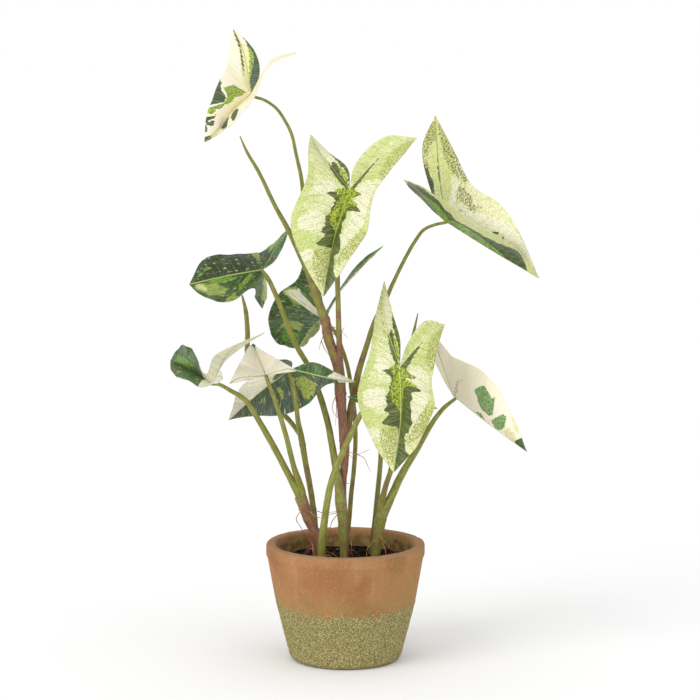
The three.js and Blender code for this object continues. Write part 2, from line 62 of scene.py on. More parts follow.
def paint(code: str) -> Colour:
    """Turns a hexadecimal screen colour into the linear colour that a shader takes.

    Args:
        code: six hexadecimal digits.

    Returns:
        Linear red, green, blue and full alpha.
    """
    parts = [int(code[i : i + 2], 16) / 255 for i in (0, 2, 4)]
    linear = [p / 12.92 if p <= 0.04045 else ((p + 0.055) / 1.055) ** 2.4 for p in parts]
    return (linear[0], linear[1], linear[2], 1.0)


def smoothstep(value: float, low: float, high: float) -> float:
    """Rises softly from 0 at low to 1 at high.

    Args:
        value: the number to place between low and high.
        low: where the rise starts.
        high: where it ends.

    Returns:
        A share between 0 and 1.
    """
    share = min(1.0, max(0.0, (value - low) / (high - low)))
    return share * share * (3 - 2 * share)


def lerp(start: float, end: float, share: float) -> float:
    """Gives the number at a share of the way from start to end."""
    return start + (end - start) * share


def table_value(knots: tuple[tuple[float, ...], ...], at: float, column: int) -> float:
    """Reads a column of a table of knots, straight between its rows.

    Args:
        knots: rows whose first number rises from row to row.
        at: the place to read, held inside the table.
        column: which number of a row to read.

    Returns:
        The number at that place.
    """
    if at <= knots[0][0]:
        return knots[0][column]
    for low, high in zip(knots, knots[1:]):
        if at <= high[0]:
            share = (at - low[0]) / max(1e-9, high[0] - low[0])
            return lerp(low[column], high[column], share)
    return knots[-1][column]


def deselect() -> None:
    """Leaves object mode with nothing selected."""
    if bpy.context.object and bpy.context.object.mode != "OBJECT":
        bpy.ops.object.mode_set(mode="OBJECT")
    bpy.ops.object.select_all(action="DESELECT")


def make_active(piece: bpy.types.Object) -> None:
    """Selects one object alone and makes it active.

    Args:
        piece: the object.
    """
    deselect()
    piece.select_set(True)
    bpy.context.view_layer.objects.active = piece


def mapped_sheet(name: str, columns: int, rows: int, place: Place) -> bpy.types.Object:
    """Adds a grid and lays it out by a formula, with marks on its points for the materials.

    Args:
        name: name of the sheet.
        columns: faces along the sheet.
        rows: faces across the sheet.
        place: gives a point in millimetres and its marks from the shares along and across.

    Returns:
        The sheet, with one attribute for each mark.
    """
    deselect()
    bpy.ops.mesh.primitive_grid_add(x_subdivisions=columns, y_subdivisions=rows, size=1.0)
    sheet = bpy.context.object
    sheet.name = name
    mesh = sheet.data
    marks: dict[str, list[float | Point]] = {}
    for vertex in mesh.vertices:
        along = round((vertex.co.x + 0.5) * columns) / columns
        across = round((vertex.co.y + 0.5) * rows) / rows
        point, found = place(along, across)
        vertex.co = point * MM
        for key, value in found.items():
            marks.setdefault(key, []).append(value)
    for key, values in marks.items():
        if isinstance(values[0], tuple):
            flat = [part for value in values for part in value]
            mesh.attributes.new(key, "FLOAT_VECTOR", "POINT").data.foreach_set("vector", flat)
        else:
            mesh.attributes.new(key, "FLOAT", "POINT").data.foreach_set("value", values)
    return sheet


def join_pieces(name: str, pieces: list[bpy.types.Object]) -> bpy.types.Object:
    """Joins objects into one and merges the points that meet.

    Args:
        name: name of the joined piece.
        pieces: the objects to join.

    Returns:
        The joined object, its faces turned alike.
    """
    deselect()
    for piece in pieces:
        piece.select_set(True)
    bpy.context.view_layer.objects.active = pieces[0]
    if len(pieces) > 1:
        bpy.ops.object.join()
    joined = bpy.context.object
    joined.name = name
    bpy.ops.object.mode_set(mode="EDIT")
    bpy.ops.mesh.select_all(action="SELECT")
    bpy.ops.mesh.remove_doubles(threshold=MERGE)
    bpy.ops.mesh.dissolve_degenerate(threshold=MERGE)
    bpy.ops.mesh.select_all(action="SELECT")
    bpy.ops.mesh.normals_make_consistent(inside=False)
    bpy.ops.object.mode_set(mode="OBJECT")
    return joined


def apply_modifier(piece: bpy.types.Object, kind: str, settings: dict[str, object]) -> None:
    """Adds a modifier with its settings and applies it.

    Args:
        piece: the object to change.
        kind: Blender's name of the modifier type.
        settings: the modifier's settings by name.
    """
    make_active(piece)
    modifier = piece.modifiers.new(kind.title(), kind)
    for key, value in settings.items():
        setattr(modifier, key, value)
    bpy.ops.object.modifier_apply(modifier=modifier.name)


def smooth_by_angle(piece: bpy.types.Object, degrees: float) -> None:
    """Shades a piece smooth except across edges sharper than the angle."""
    make_active(piece)
    bpy.ops.object.shade_smooth_by_angle(angle=math.radians(degrees))


def hand_over(piece: bpy.types.Object, slot: str, material: bpy.types.Material, *nodes: str) -> None:
    """Dresses a finished piece and lets it stand for its nodes.

    Args:
        piece: the finished object.
        slot: the record's material slot; not used.
        material: the finish.
        nodes: the nodes that it replaces, if any.
    """
    piece.data.materials.clear()
    piece.data.materials.append(material)
    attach(piece, "root")
    if nodes:
        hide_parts(*nodes)
    LOG.info("%s: %d faces", piece.name, len(piece.data.polygons))


@dataclass(frozen=True)
class SmoothCurve:
    """A centripetal spline through points."""

    points: tuple[Vector, ...]

    def at(self, share: float) -> Vector:
        """Gives the point at a share of the way, each span taking the same share.

        Args:
            share: 0 at the first point, 1 at the last.

        Returns:
            The point on the curve.
        """
        spans = len(self.points) - 1
        knot = min(int(share * spans), spans - 1)
        local = share * spans - knot
        start, end = self.points[knot], self.points[knot + 1]
        before = self.points[knot - 1] if knot > 0 else 2 * start - end
        after = self.points[knot + 2] if knot + 2 <= spans else 2 * end - start
        step = max(1e-4, (end - start).length ** 0.5)
        step_before = max(1e-4, (start - before).length ** 0.5)
        step_after = max(1e-4, (after - end).length ** 0.5)
        leave = (start - before) / step_before - (end - before) / (step_before + step)
        leave = (leave + (end - start) / step) * step
        arrive = (end - start) / step - (after - start) / (step + step_after)
        arrive = (arrive + (after - end) / step_after) * step
        cubic = 2 * start - 2 * end + leave + arrive
        square = 3 * end - 3 * start - 2 * leave - arrive
        return start + leave * local + square * local**2 + cubic * local**3

    def direction(self, share: float) -> Vector:
        """Gives the unit direction of travel.

        Args:
            share: 0 at the first point, 1 at the last.

        Returns:
            The direction at that share of the way.
        """
        step = 1e-3
        ahead = self.at(min(1.0, share + step))
        return (ahead - self.at(max(0.0, share - step))).normalized()


class Sheet:
    """Adds nodes to a tree in a few words."""

    def __init__(self, tree: bpy.types.NodeTree) -> None:
        """Takes the tree to write into."""
        self.tree = tree

    def node(self, kind: str, inputs: dict[str | int, object], **settings: object) -> bpy.types.Node:
        """Adds a node.

        Args:
            kind: Blender's name of the node type.
            inputs: a socket or a plain value for each named or numbered input.
            settings: the node's own settings.

        Returns:
            The new node.
        """
        node = self.tree.nodes.new(kind)
        for key, value in settings.items():
            setattr(node, key, value)
        for key, value in inputs.items():
            if isinstance(value, bpy.types.NodeSocket):
                self.tree.links.new(value, node.inputs[key])
            else:
                node.inputs[key].default_value = value
        return node

    def math(self, kind: str, first: object, second: object = 0.0) -> bpy.types.NodeSocket:
        """Gives the result of a sum on two values."""
        return self.node("ShaderNodeMath", {0: first, 1: second}, operation=kind).outputs[0]

    def times(self, first: object, second: object) -> bpy.types.NodeSocket:
        """Gives the product of two values."""
        return self.math("MULTIPLY", first, second)

    def plus(self, first: object, second: object) -> bpy.types.NodeSocket:
        """Gives the sum of two values."""
        return self.math("ADD", first, second)

    def mix(self, share: object, first: object, second: object) -> bpy.types.NodeSocket:
        """Gives the colour between two colours at a share."""
        inputs = {0: share, 6: first, 7: second}
        return self.node("ShaderNodeMix", inputs, data_type="RGBA").outputs[2]

    def noise(self, vector: object, scale: float, detail: float = 3.0) -> bpy.types.NodeSocket:
        """Gives a soft noise between 0 and 1."""
        inputs = {"Vector": vector, "Scale": scale, "Detail": detail}
        return self.node("ShaderNodeTexNoise", inputs).outputs["Fac"]

    def soft(self, value: object, low: object, high: object) -> bpy.types.NodeSocket:
        """Gives a smooth rise from 0 at low to 1 at high."""
        inputs = {"Value": value, "From Min": low, "From Max": high}
        return self.node("ShaderNodeMapRange", inputs, interpolation_type="SMOOTHSTEP").outputs["Result"]

    def scaled(self, vector: object, scale: Point) -> bpy.types.NodeSocket:
        """Gives a vector stretched along its own axes."""
        return self.node("ShaderNodeVectorMath", {0: vector, 1: scale}, operation="MULTIPLY").outputs[0]

    def mark(self, name: str, part: str = "Fac") -> bpy.types.NodeSocket:
        """Gives a mark that was left on the mesh's points."""
        return self.node("ShaderNodeAttribute", {}, attribute_name=name).outputs[part]

    def place(self) -> bpy.types.NodeSocket:
        """Gives the point on the piece in millimetres."""
        point = self.node("ShaderNodeTexCoord", {}).outputs["Object"]
        return self.scaled(point, (1000, 1000, 1000))

    def group(self, tree: bpy.types.NodeTree, inputs: dict[str, object]) -> bpy.types.NodeSocket:
        """Places a shared effect and gives its mask."""
        return self.node("ShaderNodeGroup", inputs, node_tree=tree).outputs["Mask"]


class Skin(Sheet):
    """Writes a new material, from its name to the sockets of its surface."""

    def __init__(self, name: str) -> None:
        """Opens the material.

        Args:
            name: name of the material.
        """
        self.material = bpy.data.materials.new(name)
        self.material.use_nodes = True
        super().__init__(self.material.node_tree)
        self.surface = self.tree.nodes["Principled BSDF"]

    def close(self, colour: object, rough: object, gloss: float = 0.5) -> bpy.types.Material:
        """Leads colour and roughness to the surface.

        Args:
            colour: socket of the base colour.
            rough: socket or value of the roughness.
            gloss: level of the highlights, 0.5 for a plain one.

        Returns:
            The material.
        """
        self.tree.links.new(colour, self.surface.inputs["Base Color"])
        if isinstance(rough, float):
            self.surface.inputs["Roughness"].default_value = rough
        else:
            self.tree.links.new(rough, self.surface.inputs["Roughness"])
        self.surface.inputs["Specular IOR Level"].default_value = gloss
        return self.material

    def relief(self, height: object, strength: float, depth: float) -> None:
        """Adds fine relief to the surface.

        Args:
            height: socket of the height, from 0 to about 1.
            strength: share of the relief that shows.
            depth: metres that a height of 1 stands out.
        """
        inputs = {"Strength": strength, "Distance": depth, "Height": height}
        bump = self.node("ShaderNodeBump", inputs)
        self.tree.links.new(bump.outputs[0], self.surface.inputs["Normal"])


class Effects:
    """Shared masks, each a node group with named inputs."""

    def __init__(self) -> None:
        """Builds every shared effect once."""
        self.patch = self._patch()
        self.mottle = self._mottle()
        self.speckle = self._speckle()
        self.veins = self._veins()

    @staticmethod
    def _start(name: str, floats: tuple[str, ...]) -> tuple[Sheet, bpy.types.Node, bpy.types.Node]:
        """Opens a group.

        Args:
            name: name of the effect.
            floats: its number inputs, beside Vector.

        Returns:
            The sheet to write on, the group's input node and its output node.
        """
        tree = bpy.data.node_groups.new(name, "ShaderNodeTree")
        tree.interface.new_socket("Vector", in_out="INPUT", socket_type="NodeSocketVector")
        for socket in floats:
            tree.interface.new_socket(socket, in_out="INPUT", socket_type="NodeSocketFloat")
        tree.interface.new_socket("Mask", in_out="OUTPUT", socket_type="NodeSocketFloat")
        sheet = Sheet(tree)
        return sheet, sheet.node("NodeGroupInput", {}), sheet.node("NodeGroupOutput", {})

    def _patch(self) -> bpy.types.NodeTree:
        """Builds the mask of an area, from its signed distance in millimetres, with a ragged edge.

        Returns:
            The group.
        """
        sheet, given, result = self._start("ragged patch", ("Field", "Scale", "Ragged", "Soft"))
        uneven = sheet.noise(given.outputs["Vector"], 1.0, 4.0)
        sheet.tree.links.new(given.outputs["Scale"], uneven.node.inputs["Scale"])
        swing = sheet.times(sheet.math("SUBTRACT", uneven, 0.5), 4.0)
        swing = sheet.times(swing, given.outputs["Ragged"])
        field = sheet.plus(swing, given.outputs["Field"])
        low = sheet.times(given.outputs["Soft"], -1.0)
        mask = sheet.soft(field, low, given.outputs["Soft"])
        sheet.tree.links.new(mask, result.inputs["Mask"])
        return sheet.tree

    def _mottle(self) -> bpy.types.NodeTree:
        """Builds cloudy blotches above a level.

        Returns:
            The group.
        """
        sheet, given, result = self._start("mottle", ("Scale", "Level", "Soft"))
        cloud = sheet.noise(given.outputs["Vector"], 1.0, 5.0)
        sheet.tree.links.new(given.outputs["Scale"], cloud.node.inputs["Scale"])
        high = sheet.plus(given.outputs["Level"], given.outputs["Soft"])
        low = sheet.math("SUBTRACT", given.outputs["Level"], given.outputs["Soft"])
        sheet.tree.links.new(sheet.soft(cloud, low, high), result.inputs["Mask"])
        return sheet.tree

    def _speckle(self) -> bpy.types.NodeTree:
        """Builds small dots, in only some of the cells.

        Returns:
            The group.
        """
        sheet, given, result = self._start("speckle", ("Scale", "Size", "Density"))
        cells = sheet.node("ShaderNodeTexVoronoi", {"Vector": given.outputs["Vector"]})
        sheet.tree.links.new(given.outputs["Scale"], cells.inputs["Scale"])
        low = sheet.times(given.outputs["Size"], 0.6)
        dot = sheet.soft(cells.outputs["Distance"], given.outputs["Size"], low)
        chosen = sheet.node("ShaderNodeSeparateColor", {"Color": cells.outputs["Color"]})
        kept = sheet.math("LESS_THAN", chosen.outputs[0], given.outputs["Density"])
        sheet.tree.links.new(sheet.times(dot, kept), result.inputs["Mask"])
        return sheet.tree

    def _veins(self) -> bpy.types.NodeTree:
        """Builds thin lines at even steps of the vector's first part, a little unsteady.

        Returns:
            The group.
        """
        sheet, given, result = self._start("side veins", ("Spacing", "Width"))
        parts = sheet.node("ShaderNodeSeparateXYZ", {0: given.outputs["Vector"]})
        sway = sheet.times(sheet.noise(given.outputs["Vector"], 0.12, 2.0), 5.0)
        along = sheet.plus(parts.outputs[0], sway)
        turns = sheet.math("DIVIDE", along, given.outputs["Spacing"])
        off = sheet.math("ABSOLUTE", sheet.math("SUBTRACT", sheet.math("FRACT", turns), 0.5))
        gap = sheet.times(off, given.outputs["Spacing"])
        thin = sheet.times(given.outputs["Width"], 0.3)
        line = sheet.soft(gap, given.outputs["Width"], thin)
        sheet.tree.links.new(line, result.inputs["Mask"])
        return sheet.tree


class Kind(Enum):
    """What a painted area of a blade shows."""

    PALE = "pale"
    FRESH = "fresh"
    OLIVE = "olive"
    DARK = "dark"
    LIME = "lime"


class Part(Enum):
    """Which part of a half blade an area lies on."""

    BODY = "body"
    LOBE = "lobe"


PALE, FRESH, OLIVE, DARK, LIME = tuple(Kind)
BODY, LOBE = tuple(Part)
OUTSIDE = -20.0


@dataclass(frozen=True)
class Area:
    """A painted area on one half of a blade.

    Each knot gives a place along the rib (0 tip, 1 petiole, 2 lobe tip) and the shares of the
    width, from the rib to the margin, between which the area lies there.
    """

    kind: Kind
    half: int
    part: Part
    knots: tuple[tuple[float, float, float], ...]

    def depth(self, along: float, share: float, width: float, length: float) -> float:
        """Gives the signed distance in millimetres, above 0 inside.

        Args:
            along: place along the rib.
            share: share of the width.
            width: width of the half there.
            length: length of the midrib.

        Returns:
            How deep inside the area the point lies.
        """
        low = table_value(self.knots, along, 1)
        high = table_value(self.knots, along, 2)
        side = min(share - low, high - share) * width
        ends = min(along - self.knots[0][0], self.knots[-1][0] - along) * length
        return min(side, ends + 0.5) if ends < 0.5 else side


@dataclass(frozen=True)
class LeafFinish:
    """Colours of a variegated blade, from its ground to its marks."""

    name: str
    ground: str
    second: str
    second_level: float
    third: str
    third_level: float
    pale: str
    dark: str
    dark_second: str
    lime: str
    lime_second: str
    rib: str
    dot: str
    dot_density: float
    fleck: str
    fleck_level: float
    vein: str
    vein_share: float
    fresh: str = "c6d474"
    olive: str = "8a8c3c"
    streak: Point = (1.0, 0.28, 1.0)
    grain: float = 0.12
    ragged: float = 1.7
    edge_scale: float = 0.42
    vein_gap: float = 8.5
    vein_width: float = 0.5
    fine_vein_gap: float = 2.3
    fine_vein_width: float = 0.3
    fine_vein_share: float = 0.4
    roughness: float = 0.42

    def build(self, effects: Effects) -> bpy.types.Material:
        """Makes the blade's material.

        Args:
            effects: the shared masks.

        Returns:
            The material.
        """
        sheet = Skin(self.name)
        place = sheet.place()
        flow = sheet.mark("flow", "Vector")
        streaky = sheet.scaled(flow, self.streak)
        stretched = sheet.scaled(flow, (1.0, 0.6, 1.0))

        def mottle(vector: object, scale: float, level: float, soft: float) -> bpy.types.NodeSocket:
            """Gives blotches from the shared effect."""
            inputs = {"Vector": vector, "Scale": scale, "Level": level, "Soft": soft}
            return sheet.group(effects.mottle, inputs)

        def patch(kind: Kind, ragged: float, soft: float = 0.2) -> bpy.types.NodeSocket:
            """Gives a painted area from the shared effect."""
            edge = {"Vector": streaky, "Scale": self.edge_scale, "Ragged": ragged, "Soft": soft}
            return sheet.group(effects.patch, {**edge, "Field": sheet.mark(kind.value)})

        blotches = mottle(streaky, 0.14, self.second_level, 0.1)
        colour = sheet.mix(blotches, paint(self.ground), paint(self.second))
        colour = sheet.mix(mottle(streaky, 0.5, self.third_level, 0.08), colour, paint(self.third))
        cloudy = sheet.plus(sheet.times(mottle(streaky, 0.4, 0.5, 0.12), 0.35), 0.5)
        fresh = sheet.times(patch(FRESH, self.ragged * 1.6, 1.2), cloudy)
        colour = sheet.mix(fresh, colour, paint(self.fresh))
        pale = sheet.times(patch(PALE, self.ragged, 0.8), 0.85)
        colour = sheet.mix(pale, colour, paint(self.pale))
        tooth = mottle(stretched, 1.5, 0.58, 0.08)
        colour = sheet.mix(sheet.times(tooth, self.grain), colour, paint(self.olive))
        side = {"Vector": flow, "Spacing": self.vein_gap, "Width": self.vein_width}
        veins = sheet.group(effects.veins, side)
        fine = {"Vector": flow, "Spacing": self.fine_vein_gap, "Width": self.fine_vein_width}
        fine_veins = sheet.group(effects.veins, fine)
        colour = sheet.mix(sheet.times(veins, self.vein_share), colour, paint(self.vein))
        fine_share = self.vein_share * self.fine_vein_share
        colour = sheet.mix(sheet.times(fine_veins, fine_share), colour, paint(self.vein))
        dots = {"Vector": place, "Scale": 1.05, "Size": 0.42, "Density": self.dot_density}
        colour = sheet.mix(sheet.group(effects.speckle, dots), colour, paint(self.dot))
        grainy = mottle(stretched, 0.8, 0.5, 0.05)
        olive = sheet.times(patch(OLIVE, self.ragged * 1.8, 1.5), grainy)
        colour = sheet.mix(olive, colour, paint(self.olive))
        dark = patch(DARK, self.ragged)
        shade = sheet.mix(mottle(streaky, 0.3, 0.52, 0.14), paint(self.dark), paint(self.dark_second))
        light_vein = sheet.times(sheet.math("MAXIMUM", veins, fine_veins), 0.22)
        shade = sheet.mix(light_vein, shade, paint(self.rib))
        colour = sheet.mix(dark, colour, shade)
        flecks = mottle(sheet.scaled(streaky, (1.0, 0.6, 1.0)), 0.75, self.fleck_level, 0.03)
        colour = sheet.mix(flecks, colour, paint(self.fleck))
        lime = patch(LIME, self.ragged * 0.8)
        bright = sheet.mix(mottle(place, 0.55, 0.5, 0.05), paint(self.lime), paint(self.lime_second))
        colour = sheet.mix(lime, colour, bright)
        near_rib = sheet.soft(sheet.mark("rib"), 0.8, 0.35)
        colour = sheet.mix(near_rib, colour, paint(self.rib))
        edge = sheet.soft(sheet.mark("rim"), 0.55, 0.15)
        colour = sheet.mix(sheet.times(edge, 0.35), colour, paint(self.vein))
        height = sheet.plus(sheet.times(veins, -0.5), sheet.times(near_rib, -0.7))
        height = sheet.plus(height, sheet.times(sheet.noise(place, 0.8, 3.0), 0.35))
        sheet.relief(height, 0.5, 0.0006)
        rough = sheet.plus(sheet.times(sheet.noise(place, 0.3, 2.0), 0.16), self.roughness - 0.08)
        return sheet.close(colour, rough, gloss=0.4)


LIME_LEAF = LeafFinish(
    name="lime_leaf",
    ground="e0e4b0", second="cbd48c", second_level=0.52, third="eeebc8", third_level=0.6,
    pale="efecce", dark="3a451a", dark_second="5f6d2a", lime="b3c13a", lime_second="64751f",
    rib="c9d48c", dot="7c8240", dot_density=0.5, fleck="d5da9c", fleck_level=0.72,
    vein="a3a85c", vein_share=0.5, fresh="c3d178", olive="94983a", grain=0.5,
)
SPECKLED_LEAF = LeafFinish(
    name="speckled_leaf",
    ground="eae8b8", second="dde09e", second_level=0.52, third="f3edcf", third_level=0.56,
    pale="f3efd8", dark="3c4b2e", dark_second="55683c", lime="8fb04c", lime_second="5f8036",
    rib="a3ae62", dot="8d8a45", dot_density=0.38, fleck="e2e6ae", fleck_level=0.72,
    vein="b9bd74", vein_share=0.25, fresh="d0d880", olive="6f6a22", streak=(0.5, 0.75, 1.0), grain=0.35,
)
CREAM_LEAF = LeafFinish(
    name="cream_leaf",
    ground="f7ecd6", second="f5f0c8", second_level=0.55, third="f8e9dc", third_level=0.6,
    pale="f8f0dc", dark="4a5c4c", dark_second="3a4a2c", lime="a9bb52", lime_second="6f8f3c",
    rib="b9bb5c", dot="eee4b4", dot_density=0.2, fleck="f5edd0", fleck_level=0.82,
    vein="e6e2ae", vein_share=0.16, fresh="d9d98a", olive="9aa04e", ragged=1.6,
)
KHAKI_LEAF = LeafFinish(
    name="khaki_leaf",
    ground="ece4cd", second="f3eadb", second_level=0.5, third="dfd9b8", third_level=0.62,
    pale="f6ecd8", dark="3f4d2a", dark_second="5a6b3a", lime="a5b05e", lime_second="c3c887",
    rib="8f8f5c", dot="c4c094", dot_density=0.15, fleck="e8e3c6", fleck_level=0.8,
    vein="bdb88c", vein_share=0.18, grain=0.25,
)
DARK_LEAF = LeafFinish(
    name="dark_leaf",
    ground="3c5a2d", second="2b421f", second_level=0.5, third="56803a", third_level=0.6,
    pale="f6f0da", dark="3d4a3a", dark_second="566458", lime="7da63c", lime_second="4f7a2c",
    rib="a9bf6b", dot="7fa24a", dot_density=0.2, fleck="c3cf95", fleck_level=0.64,
    vein="7f9a5c", vein_share=0.5, fresh="b5c65c", olive="8d9440",
)
STREAKED_LEAF = replace(
    DARK_LEAF, name="streaked_leaf", streak=(0.22, 1.0, 1.0), lime="8fb03c", lime_second="5c8430",
    pale="e6e6a0", dark="232b1c", dark_second="3c4a30", fleck="b4c19a", fleck_level=0.64,
)
CREAM_AND_DARK_LEAF = replace(
    DARK_LEAF, name="cream_and_dark_leaf", pale="f6eedc", lime="aab254", lime_second="7f8c3e",
)
MIXED_CREAM_LEAF = replace(
    CREAM_LEAF, name="mixed_cream_leaf", ground="fff5e4", second="fdf8da", third="fff1e2",
    lime="95b074", lime_second="6c9256", dark="3d5630", dark_second="4c6840", rib="98a455",
)


@dataclass(frozen=True)
class Half:
    """One half of a blade: its outer margin from shoulder to lobe tip, and its inner margin."""

    outer: tuple[Point, Point, Point, Point, Point]
    inner: tuple[Point, Point]


@dataclass(frozen=True)
class Blade:
    """An arrow-shaped blade, given by its rib, margins and painted areas, in millimetres."""

    name: str
    slot: str
    finish: LeafFinish
    bulge: float
    junction: Point
    midrib: Point
    tip: Point
    halves: tuple[Half, Half]
    areas: tuple[Area, ...] = ()
    wave: float = 0.7
    quilt: float = 0.35
    thickness: float = 0.75
    steps: int = 16
    rows: int = 20
    lobe_rows: int = 12
    lobe_rib_share: float = 0.45
    lobe_bulge_share: float = 0.4
    side_vein_gap: float = 8.5
    rib_knots: tuple[float, ...] = (0.0, 0.36, 0.74, 1.0, 1.38, 2.0)
    neck: int = 3

    def _rib_place(self, column: float) -> float:
        """Gives the place along the rib for a column between the margin's knots."""
        knot = min(int(column), len(self.rib_knots) - 2)
        return lerp(self.rib_knots[knot], self.rib_knots[knot + 1], column - knot)

    def _depths(
        self, half: int, part: Part, along: float, share: float, width: float, length: float
    ) -> Marks:
        """Gives each kind of painted area's signed distance at a point.

        Args:
            half: which half.
            part: which part of it.
            along: place along the rib.
            share: share of the width.
            width: width of the half there.
            length: length of the midrib.

        Returns:
            A distance in millimetres for each kind, above 0 inside.
        """
        found: Marks = {}
        for kind in Kind:
            depths = [
                area.depth(along, share, width, length)
                for area in self.areas
                if area.kind is kind and area.half == half and area.part is part
            ]
            found[kind.value] = max(depths, default=OUTSIDE)
        return found

    def _sheet(self, number: int, part: Part) -> bpy.types.Object:
        """Models one part of a half blade as a sheet between its rib and its margin.

        Args:
            number: which half.
            part: its body or the inner side of its lobe.

        Returns:
            The sheet.
        """
        half = self.halves[number]
        mirror = 1.0 if number == 0 else -1.0
        tip, junction = Vector(self.tip), Vector(self.junction)
        outer_points = tuple(Vector(p) for p in half.outer)
        sinus, inside = (Vector(p) for p in half.inner)
        widest, neck, lobe, lobe_tip = outer_points[1:]
        vein_middle = inside.lerp(lobe, self.lobe_rib_share)
        midrib = SmoothCurve((tip, Vector(self.midrib), junction))
        lobe_vein = SmoothCurve((junction, vein_middle, lobe_tip))
        outer = SmoothCurve((tip, *outer_points))
        inner = SmoothCurve((junction, sinus, inside, lobe_tip))
        body_normal = (tip - junction).cross(widest - junction).normalized() * mirror
        lobe_normal = (neck - junction).cross(lobe_tip - junction).normalized() * mirror
        length = (tip - junction).length
        full_width = length / 3
        last = len(self.rib_knots) - 1
        first = 0 if part is BODY else self.neck
        cache: dict[float, tuple[Vector, Vector, Vector, float, float]] = {}

        def column_at(share: float) -> tuple[Vector, Vector, Vector, float, float]:
            """Gives what all points of one column share.

            Args:
                share: share of the way along the sheet.

            Returns:
                Rib point, margin point, normal, column and place along the rib.
            """
            if share not in cache:
                column = first + share * (last - first)
                along = self._rib_place(column)
                start = midrib.at(along) if along <= 1 else lobe_vein.at(along - 1)
                if part is BODY:
                    end = outer.at(column / last)
                else:
                    end = inner.at((column - self.neck) / (last - self.neck))
                blend = smoothstep(column, 2, 4)
                normal = body_normal.lerp(lobe_normal, blend).normalized()
                cache[share] = (start, end, normal, column, along)
            return cache[share]

        def place(share_along: float, share: float) -> tuple[Vector, Marks]:
            """Places a point of the sheet.

            Args:
                share_along: share of the way along the sheet.
                share: share of the way from rib to margin.

            Returns:
                The point and its marks.
            """
            start, end, normal, column, along = column_at(share_along)
            width = (end - start).length
            fill = min(1.0, width / full_width)
            height = self.bulge * lerp(1.0, self.lobe_bulge_share, smoothstep(column, 2, self.neck))
            lift = height * 4 * share * (1 - share) * fill
            flow = along * length + 0.18 * share * width * (1 if along < 1 else -1)
            ridge = abs(math.sin(math.pi * flow / self.side_vein_gap))
            lift += self.quilt * ridge * 4 * share * (1 - share) * fill
            sway = math.sin(along * 15 + 2.1 * number + self.bulge) + 0.5 * math.sin(along * 31 + 4 * number)
            lift += self.wave * sway * share**3 * fill
            point = start.lerp(end, share) + normal * lift
            marks = self._depths(number, part, along, share, max(width, 4.0), length)
            offset = 60.0 * number + (30.0 if part is LOBE else 0.0)
            marks["flow"] = (flow, share * width, offset)
            marks["rib"] = share * width
            marks["rim"] = (1 - share) * width
            return point, marks

        columns = self.steps * (last - first)
        rows = self.rows if part is BODY else self.lobe_rows
        return mapped_sheet(f"{self.name}_{number}_{part.value}", columns, rows, place)

    def build(self, effects: Effects) -> bpy.types.Object:
        """Models and dresses the blade.

        Args:
            effects: the shared masks.

        Returns:
            The finished blade.
        """
        sheets = [self._sheet(number, part) for number in (0, 1) for part in Part]
        blade = join_pieces(f"{self.name}_blade", sheets)
        apply_modifier(blade, "SOLIDIFY", {"thickness": self.thickness * MM, "offset": 0.0})
        smooth_by_angle(blade, 50)
        material = bpy.data.materials.get(self.finish.name) or self.finish.build(effects)
        hand_over(blade, self.slot, material, self.name)
        return blade


RIB = -1.0
RIM = 1.6
WHOLE_BODY = ((0.0, RIB, RIM), (2.0, RIB, RIM))


